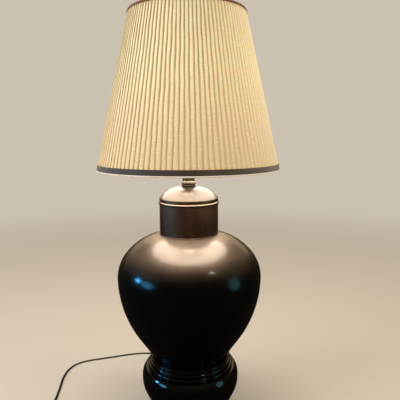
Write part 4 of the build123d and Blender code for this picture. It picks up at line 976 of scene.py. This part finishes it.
pleating = bpy.data.node_groups.new("knife_pleats", "GeometryNodeTree")
inputs_of = {}
for name, kind, value in (
    ("Pleats", "NodeSocketInt", 111),
    ("Bottom radius", "NodeSocketFloat", 0.17892),
    ("Top radius", "NodeSocketFloat", 0.11267),
    ("Bottom height", "NodeSocketFloat", 0.526666),
    ("Top height", "NodeSocketFloat", 0.822366),
    ("Depth", "NodeSocketFloat", 0.0021),
    ("Wall to the liner", "NodeSocketFloat", 0.00295),
    ("Wander", "NodeSocketFloat", 0.26),
    ("Seed", "NodeSocketFloat", 4.0),
    ("Cloth", "NodeSocketMaterial", linen),
):
    socket = pleating.interface.new_socket(name=name, in_out="INPUT", socket_type=kind)
    inputs_of[socket.identifier] = value
pleating.interface.new_socket(name="Cover", in_out="OUTPUT", socket_type="NodeSocketGeometry")

tree = pleating
given = add(tree, "NodeGroupInput").outputs
# a flat grid: columns of steps across each pleat, and rows up the cover, the last of
# which fold back down the inside, to its top, its foot and the outer foot again
columns, rows = 12, 44
inner_top, inner_foot, outer_foot = rows + 1, rows + 2, rows + 3
count = add(tree, "ShaderNodeMath", {0: given["Pleats"], 1: columns, 2: 1}, operation="MULTIPLY_ADD")
grid = add(
    tree,
    "GeometryNodeMeshGrid",
    {"Size X": 1, "Size Y": 1, "Vertices X": count, "Vertices Y": outer_foot + 1},
)
where = add(tree, "ShaderNodeSeparateXYZ", {0: add(tree, "GeometryNodeInputPosition")})
steps_round = add(tree, "ShaderNodeMath", {0: given["Pleats"], 1: columns}, operation="MULTIPLY")
column = add(tree, "ShaderNodeMath", {0: where.outputs["X"], 1: 0.5}, operation="ADD")
column = add(tree, "ShaderNodeMath", {0: column, 1: steps_round}, operation="MULTIPLY")
column = add(tree, "ShaderNodeMath", {0: column}, operation="ROUND")
pleat = add(tree, "ShaderNodeMath", {0: column, 1: columns}, operation="DIVIDE")
pleat = add(tree, "ShaderNodeMath", {0: pleat}, operation="FLOOR")
part_way = add(tree, "ShaderNodeMath", {0: column, 1: columns}, operation="MODULO")
part_way = add(tree, "ShaderNodeMath", {0: part_way, 1: columns}, operation="DIVIDE")
row = add(tree, "ShaderNodeMath", {0: where.outputs["Y"], 1: 0.5}, operation="ADD")
row = add(tree, "ShaderNodeMath", {0: row, 1: outer_foot}, operation="MULTIPLY")
row = add(tree, "ShaderNodeMath", {0: row}, operation="ROUND")
going_up = add(tree, "ShaderNodeMath", {0: row, 1: rows}, operation="DIVIDE")
going_down = add(tree, "ShaderNodeMath", {0: inner_foot, 1: row}, operation="SUBTRACT")
level = add(tree, "ShaderNodeMath", {0: going_up, 1: going_down}, operation="MINIMUM")
level = add(tree, "ShaderNodeClamp", {"Value": level})
inside = add(tree, "ShaderNodeMath", {0: row, 1: (inner_top + inner_foot) / 2}, operation="SUBTRACT")
inside = add(tree, "ShaderNodeMath", {0: inside}, operation="ABSOLUTE")
inside = add(tree, "ShaderNodeMath", {0: inside, 1: 1.0}, operation="LESS_THAN")

# section of one pleat, from fold to fold: how far round, how far out, and how much
# light comes through, least in the fold's shadow and then where it lies threefold
across = add(tree, "ShaderNodeFloatCurve", {"Value": part_way})
outward = add(tree, "ShaderNodeFloatCurve", {"Value": part_way})
thinness = add(tree, "ShaderNodeFloatCurve", {"Value": part_way})
for node, spots in (
    (across, (
        (0, 0), (0.08, 0.045), (0.17, 0.05), (0.25, 0.06), (0.33, 0.12), (0.5, 0.34), (0.75, 0.68), (1, 1),
    )),
    (outward, (
        (0, 0.94), (0.08, 0.86), (0.17, 0.5), (0.25, 0.12), (0.33, 0.1),
        (0.42, 0.42), (0.5, 0.62), (0.67, 0.84), (0.84, 0.98), (1, 0.94),
    )),
    (thinness, (
        (0, 0.26), (0.08, 0.5), (0.17, 0.46), (0.25, 0.4), (0.33, 0.36), (0.42, 0.74),
        (0.5, 1.0), (0.62, 1.0), (0.75, 0.94), (0.87, 0.72), (1, 0.26),
    )),
):
    line = node.mapping.curves[0]
    while len(line.points) < len(spots):
        line.points.new(0.5, 0.5)
    for point, (x, y) in zip(line.points, spots):
        point.location = (x, y)
        point.handle_type = "VECTOR"
    node.mapping.update()

plain_angle = add(tree, "ShaderNodeMath", {0: pleat, 1: across}, operation="ADD")
plain_angle = add(tree, "ShaderNodeMath", {0: plain_angle, 1: given["Pleats"]}, operation="DIVIDE")
plain_angle = add(tree, "ShaderNodeMath", {0: plain_angle, 1: 2 * pi}, operation="MULTIPLY")
cosine = add(tree, "ShaderNodeMath", {0: plain_angle}, operation="COSINE")
sine = add(tree, "ShaderNodeMath", {0: plain_angle}, operation="SINE")
# the folds wander sideways by up to a share of a pleat, and hang in by more or less
drift = add(tree, "ShaderNodeCombineXYZ", {"X": cosine, "Y": sine, "Z": level})
drift = add(tree, "ShaderNodeVectorMath", {0: drift, 1: (15.0, 15.0, 7.5)}, operation="MULTIPLY")
wander = add(
    tree,
    "ShaderNodeTexNoise",
    {"Vector": drift, "W": given["Seed"], "Scale": 1.0, "Detail": 2.0},
    noise_dimensions="4D",
)
wander = add(tree, "ShaderNodeMath", {0: wander, 1: 0.5}, operation="SUBTRACT")
wander = add(tree, "ShaderNodeMath", {0: wander, 1: given["Wander"]}, operation="MULTIPLY")
wander = add(tree, "ShaderNodeMath", {0: wander, 1: 4 * pi}, operation="MULTIPLY")
wander = add(tree, "ShaderNodeMath", {0: wander, 1: given["Pleats"]}, operation="DIVIDE")
angle = add(tree, "ShaderNodeMath", {0: plain_angle, 1: wander}, operation="ADD")
slack = add(
    tree,
    "ShaderNodeTexNoise",
    {"Vector": drift, "W": 9.0, "Scale": 1.6, "Detail": 1.0},
    noise_dimensions="4D",
)
deepness = add(
    tree,
    "ShaderNodeMapRange",
    {"Value": slack, "From Min": 0.25, "From Max": 0.75, "To Min": 0.62, "To Max": 1.0},
)
sunk = add(tree, "ShaderNodeMath", {0: 1.0, 1: outward}, operation="SUBTRACT")
sunk = add(tree, "ShaderNodeMath", {0: sunk, 1: given["Depth"]}, operation="MULTIPLY")
sunk = add(tree, "ShaderNodeMath", {0: sunk, 1: deepness}, operation="MULTIPLY")
# a Mix node of plain values takes its two at 2 and 3
sunk = add(tree, "ShaderNodeMix", {"Factor": inside, 2: sunk, 3: given["Wall to the liner"]})
face_r = add(tree, "ShaderNodeMix", {"Factor": level, 2: given["Bottom radius"], 3: given["Top radius"]})
cover_r = add(tree, "ShaderNodeMath", {0: face_r, 1: sunk}, operation="SUBTRACT")
cover_z = add(tree, "ShaderNodeMix", {"Factor": level, 2: given["Bottom height"], 3: given["Top height"]})
cover_x = add(tree, "ShaderNodeMath", {0: angle}, operation="COSINE")
cover_x = add(tree, "ShaderNodeMath", {0: cover_r, 1: cover_x}, operation="MULTIPLY")
cover_y = add(tree, "ShaderNodeMath", {0: angle}, operation="SINE")
cover_y = add(tree, "ShaderNodeMath", {0: cover_r, 1: cover_y}, operation="MULTIPLY")
on_cover = add(tree, "ShaderNodeCombineXYZ", {"X": cover_x, "Y": cover_y, "Z": cover_z})
# the cloth's own coordinates, in mm along the weft and up the warp
weft_mm = add(tree, "ShaderNodeMath", {0: column, 1: pleat_cloth / columns}, operation="MULTIPLY")
warp_mm = add(tree, "ShaderNodeMath", {0: level, 1: cover_height}, operation="MULTIPLY")
on_cloth = add(tree, "ShaderNodeCombineXYZ", {"X": weft_mm, "Y": warp_mm})
named = add(
    tree,
    "GeometryNodeStoreNamedAttribute",
    {"Geometry": grid, "Name": "cloth", "Value": on_cloth},
    data_type="FLOAT_VECTOR",
    domain="CORNER",
)
folded = add(
    tree,
    "GeometryNodeStoreNamedAttribute",
    {"Geometry": named, "Name": "fold", "Value": thinness},
    data_type="FLOAT",
    domain="POINT",
)
placed = add(tree, "GeometryNodeSetPosition", {"Geometry": folded, "Position": on_cover})
closed = add(tree, "GeometryNodeMergeByDistance", {"Geometry": placed, "Distance": 0.00001})
soft = add(tree, "GeometryNodeSetShadeSmooth", {"Geometry": closed})
real = add(tree, "GeometryNodeRealizeInstances", {"Geometry": soft})
covered = add(tree, "GeometryNodeSetMaterial", {"Geometry": real, "Material": given["Cloth"]})
add(tree, "NodeGroupOutput", {0: covered})

cover = bpy.data.objects.new("pleated_cloth", bpy.data.meshes.new("pleated_cloth"))
scene.collection.objects.link(cover)
maker = cover.modifiers.new("pleating", "NODES")
maker.node_group = pleating
for identifier, value in inputs_of.items():
    maker[identifier] = value

# the modifier's result becomes the plain mesh, with its faces turned outwards
cover_mesh = as_mesh(cover, "pleated_cloth")
cover.modifiers.clear()
cover.data = cover_mesh
shell = bmesh.new()
shell.from_mesh(cover_mesh)
bmesh.ops.recalc_face_normals(shell, faces=shell.faces)
shell.to_mesh(cover_mesh)
shell.free()
cover_mesh.materials.clear()
cover_mesh.materials.append(linen)
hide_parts("pleated_cover")
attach(cover, "shade")

# ---------------------------------------------------------------- ribbon trims
# Dark brown grosgrain ribbon, 10 mm wide below and folded to 5 mm above, glued
# round the shade's edges. The lower one ends in a lap, right of the front's middle.
shade_low, shade_top = 525.666, 823.366
shade_low_r, shade_top_r = 180.0, 113.3
shade_lean = (shade_low_r - shade_top_r) / (shade_top - shade_low)

# Ribbed silky weave: brown, faded in patches of 30 mm, with a sheen along its ribs, and painted
# light over it: bluish on the left side and tan on the right.
ribbon, tree, shader = finish_named(
    "brown_grosgrain_ribbon",
    {"Roughness": 0.62, "Sheen Weight": 0.6, "Sheen Roughness": 0.35, "Sheen Tint": colour("#D9D4CE")},
)
tape = add(tree, "ShaderNodeAttribute", attribute_name="tape").outputs["Vector"]
# fine ribs across the ribbon, 0.25 mm apart, which the eye takes for a soft grain
ribs_way = add(tree, "ShaderNodeMapping", {"Vector": tape, "Scale": (1.25, 0.08, 0)})
ribs = add(
    tree,
    "ShaderNodeTexWave",
    {"Vector": ribs_way, "Scale": 1.0, "Distortion": 0.5, "Detail": 1.0},
    bands_direction="X",
)
faded = add(tree, "ShaderNodeTexNoise", {"Vector": tape, "Scale": 0.03, "Detail": 4.0})
tone = ramp(
    add(tree, "ShaderNodeValToRGB", {0: faded}), (0.35, "#3C2C27"), (0.5, "#45352C"), (0.68, "#574B3D")
)
place = add(tree, "ShaderNodeTexCoord").outputs["Object"]
spot = add(tree, "ShaderNodeSeparateXYZ", {0: place}).outputs
# painted light: the ribbon turns bluish at the left and tan at the right, as the lamps fall on it
sideways = add(tree, "ShaderNodeMapRange", {"Value": spot["X"], "From Min": -0.18, "From Max": 0.18})
side_painted_light = ramp(
    add(tree, "ShaderNodeValToRGB", {0: sideways}),
    (0.0, "#5A5C5E"),
    (0.3, "#504A46"),
    (0.5, "#48342B"),
    (0.75, "#5C5144"),
    (1.0, "#8A7C68"),
)
lower = add(tree, "ShaderNodeMix", {"Factor": 0.7, colour_a: tone, colour_b: side_painted_light}, data_type="RGBA")
# the lap's end casts a dark line on the lower ribbon, and the upper one is redder
for factor, over in (
    (add(tree, "ShaderNodeAttribute", attribute_name="seam").outputs["Fac"], "#1C1310"),
    (add(tree, "ShaderNodeMapRange", {"Value": spot["Z"], "From Min": 0.6, "From Max": 0.8}), "#7E5038"),
):
    lower = add(
        tree,
        "ShaderNodeMix",
        {"Factor": factor, colour_a: lower.outputs[mixed], colour_b: colour(over)},
        data_type="RGBA",
    )
rib_bump = add(tree, "ShaderNodeBump", {"Height": ribs, "Strength": 0.35, "Distance": 0.00025})
feed(shader, {"Base Color": lower.outputs[mixed], "Normal": rib_bump})


def ribbon_band(name, low_z, high_z, lap_at, loose_above, seed):
    """A soft band round the shade's edge, from its lower to its upper height in mm. It is a little
    uneven along its loose edge and thicker where its end laps over its start, at the angle lap_at."""
    around, up = 360, 6
    ripples, ripple_r, ripple_z = 9.3, 0.45, 0.6
    lap_thick, lap_long = 0.55, 16
    sunk_front, sunk_back = 0.15, 0.75
    rings, tape_at, seam_at = [], [], []
    low_r = shade_low_r - shade_lean * (low_z - shade_low)
    high_r = shade_low_r - shade_lean * (high_z - shade_low)
    for k in range(around):
        a = 2 * pi * k / around
        uneven = noise.noise((ripples * cos(a), ripples * sin(a), seed)) * ripple_r
        past_lap = ((a - lap_at) % (2 * pi)) * low_r
        lap = lap_thick * min(max(1 - (past_lap - lap_long) / 2, 0), 1)
        ring = []
        for front in (True, False):
            for j in range(up + 1):
                s = j / up if front else 1 - j / up
                r = low_r + (high_r - low_r) * s
                r += lap + 0.25 * sin(pi * s) - sunk_front if front else -sunk_back
                z = low_z + (high_z - low_z) * s
                edge = uneven * (s if loose_above else 1 - s)
                ring.append(at(r, a, z + edge * ripple_z))
                tape_at += (a * low_r, z, 0)
                seam_at.append(0.6 * (abs(past_lap - lap_long - 2) < 1.7))
        rings.append(ring)
    mesh = skin(name, rings, loop=True)
    mesh.attributes.new("tape", "FLOAT_VECTOR", "POINT").data.foreach_set("vector", tape_at)
    mesh.attributes.new("seam", "FLOAT", "POINT").data.foreach_set("value", seam_at)
    return piece(name, mesh, ribbon, 50)


low_band = ribbon_band("lower_ribbon", shade_low + 3.1, shade_low + 13.0, radians(-91), False, 1.0)
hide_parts("bottom_trim")
high_band = ribbon_band("upper_ribbon", shade_top - 4.8, shade_top, radians(80), True, 6.0)
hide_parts("top_trim")

# ---------------------------------------------------------------- lining edge
# White cotton lining, turned over the lower wire and trimmed by hand, so a thin
# and slightly ragged white edge shows under the ribbon.

# Plain woven cotton: white and matt, with 2 mm lint. It glows faintly with the bulb.
cotton, tree, shader = finish_named("white_cotton_lining", {"Roughness": 0.9, "Sheen Weight": 0.3})
place = add(tree, "ShaderNodeTexCoord").outputs["Object"]
lint = add(tree, "ShaderNodeTexNoise", {"Vector": place, "Scale": 420.0, "Detail": 4.0})
tone = ramp(add(tree, "ShaderNodeValToRGB", {0: lint}), (0.3, "#D8D0C0"), (0.7, "#EFE9DD"))
feed(shader, {"Base Color": tone, "Emission Color": tone, "Emission Strength": 0.08})

edge_around = 540
hem_least, hem_most = 0.2, 1.5
edge_rings = []
for k in range(edge_around):
    a = 2 * pi * k / edge_around
    coarse = noise.noise((14 * cos(a), 14 * sin(a), 3.0))
    fine = noise.noise((60 * cos(a), 60 * sin(a), 5.0))
    # the hem's height over the shade's foot, in mm, and the rolled section that rises from it
    hem = min(hem_most, max(hem_least, 1.0 - 0.6 * coarse - 1.3 * fine))
    section = (
        (177.0, hem + 0.7), (176.9, hem + 0.4), (177.6, hem + 0.1), (178.7, hem),
        (179.6, hem + 0.2), (180.1 + 0.2 * coarse, hem + 0.7), (180.2, hem + 1.4),
        (179.8, 3.3), (179.2, 3.3), (179.0, hem + 1.2), (178.2, hem + 0.8),
    )
    edge_rings.append([at(r, a, shade_low + z) for r, z in section])
edge = piece("lining_edge_cotton", skin("lining_edge_cotton", edge_rings, loop=True), cotton, 60)
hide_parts("lining_edge")
for made, finish in ((low_band, "brown_ribbon"), (high_band, "brown_ribbon"), (edge, "white_lining")):
    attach(made, "shade")

# ---------------------------------------------------------------- finial
# Turned brass with the jar's dark patina: a flange, a waist and a ball. It
# screws down on the harp's stud and holds the shade.
finial_z = 812.266
thread_r, thread_top = 3.2, finial_z + 12.4
flange_r = 7.5
ball_r, waist_r, tip_r = 9.0, 4.6, 2.6
ball_z = finial_z + 2.0 + 4.5 + ball_r * 0.85
ball_low = ball_z - sqrt(ball_r**2 - waist_r**2)
ball_high = ball_z + sqrt(ball_r**2 - tip_r**2)
finial_outline = [(thread_r, finial_z), (flange_r, finial_z), (flange_r, finial_z + 1.4)]
finial_outline += arc((flange_r, finial_z + 1.4), (7.2, finial_z + 1.9), (6.7, finial_z + 2.0), 5)
finial_outline += [(4.9, finial_z + 2.1)]
finial_outline += arc((4.9, finial_z + 2.1), (4.4, finial_z + 3.6), (waist_r, ball_low), 8)
finial_outline += arc((waist_r, ball_low), (ball_r, ball_z), (tip_r, ball_high), 28)
finial_outline += arc((tip_r, ball_high + 1.0), (1.9, ball_high + 3.2), (0, ball_high + 4.0), 8)
finial_outline += [(0, thread_top), (thread_r, thread_top)]
finial = turned("turned_finial", finial_outline, dark_patina, around=72, rounded=0.1)
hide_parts("finial")
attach(finial, "finial")
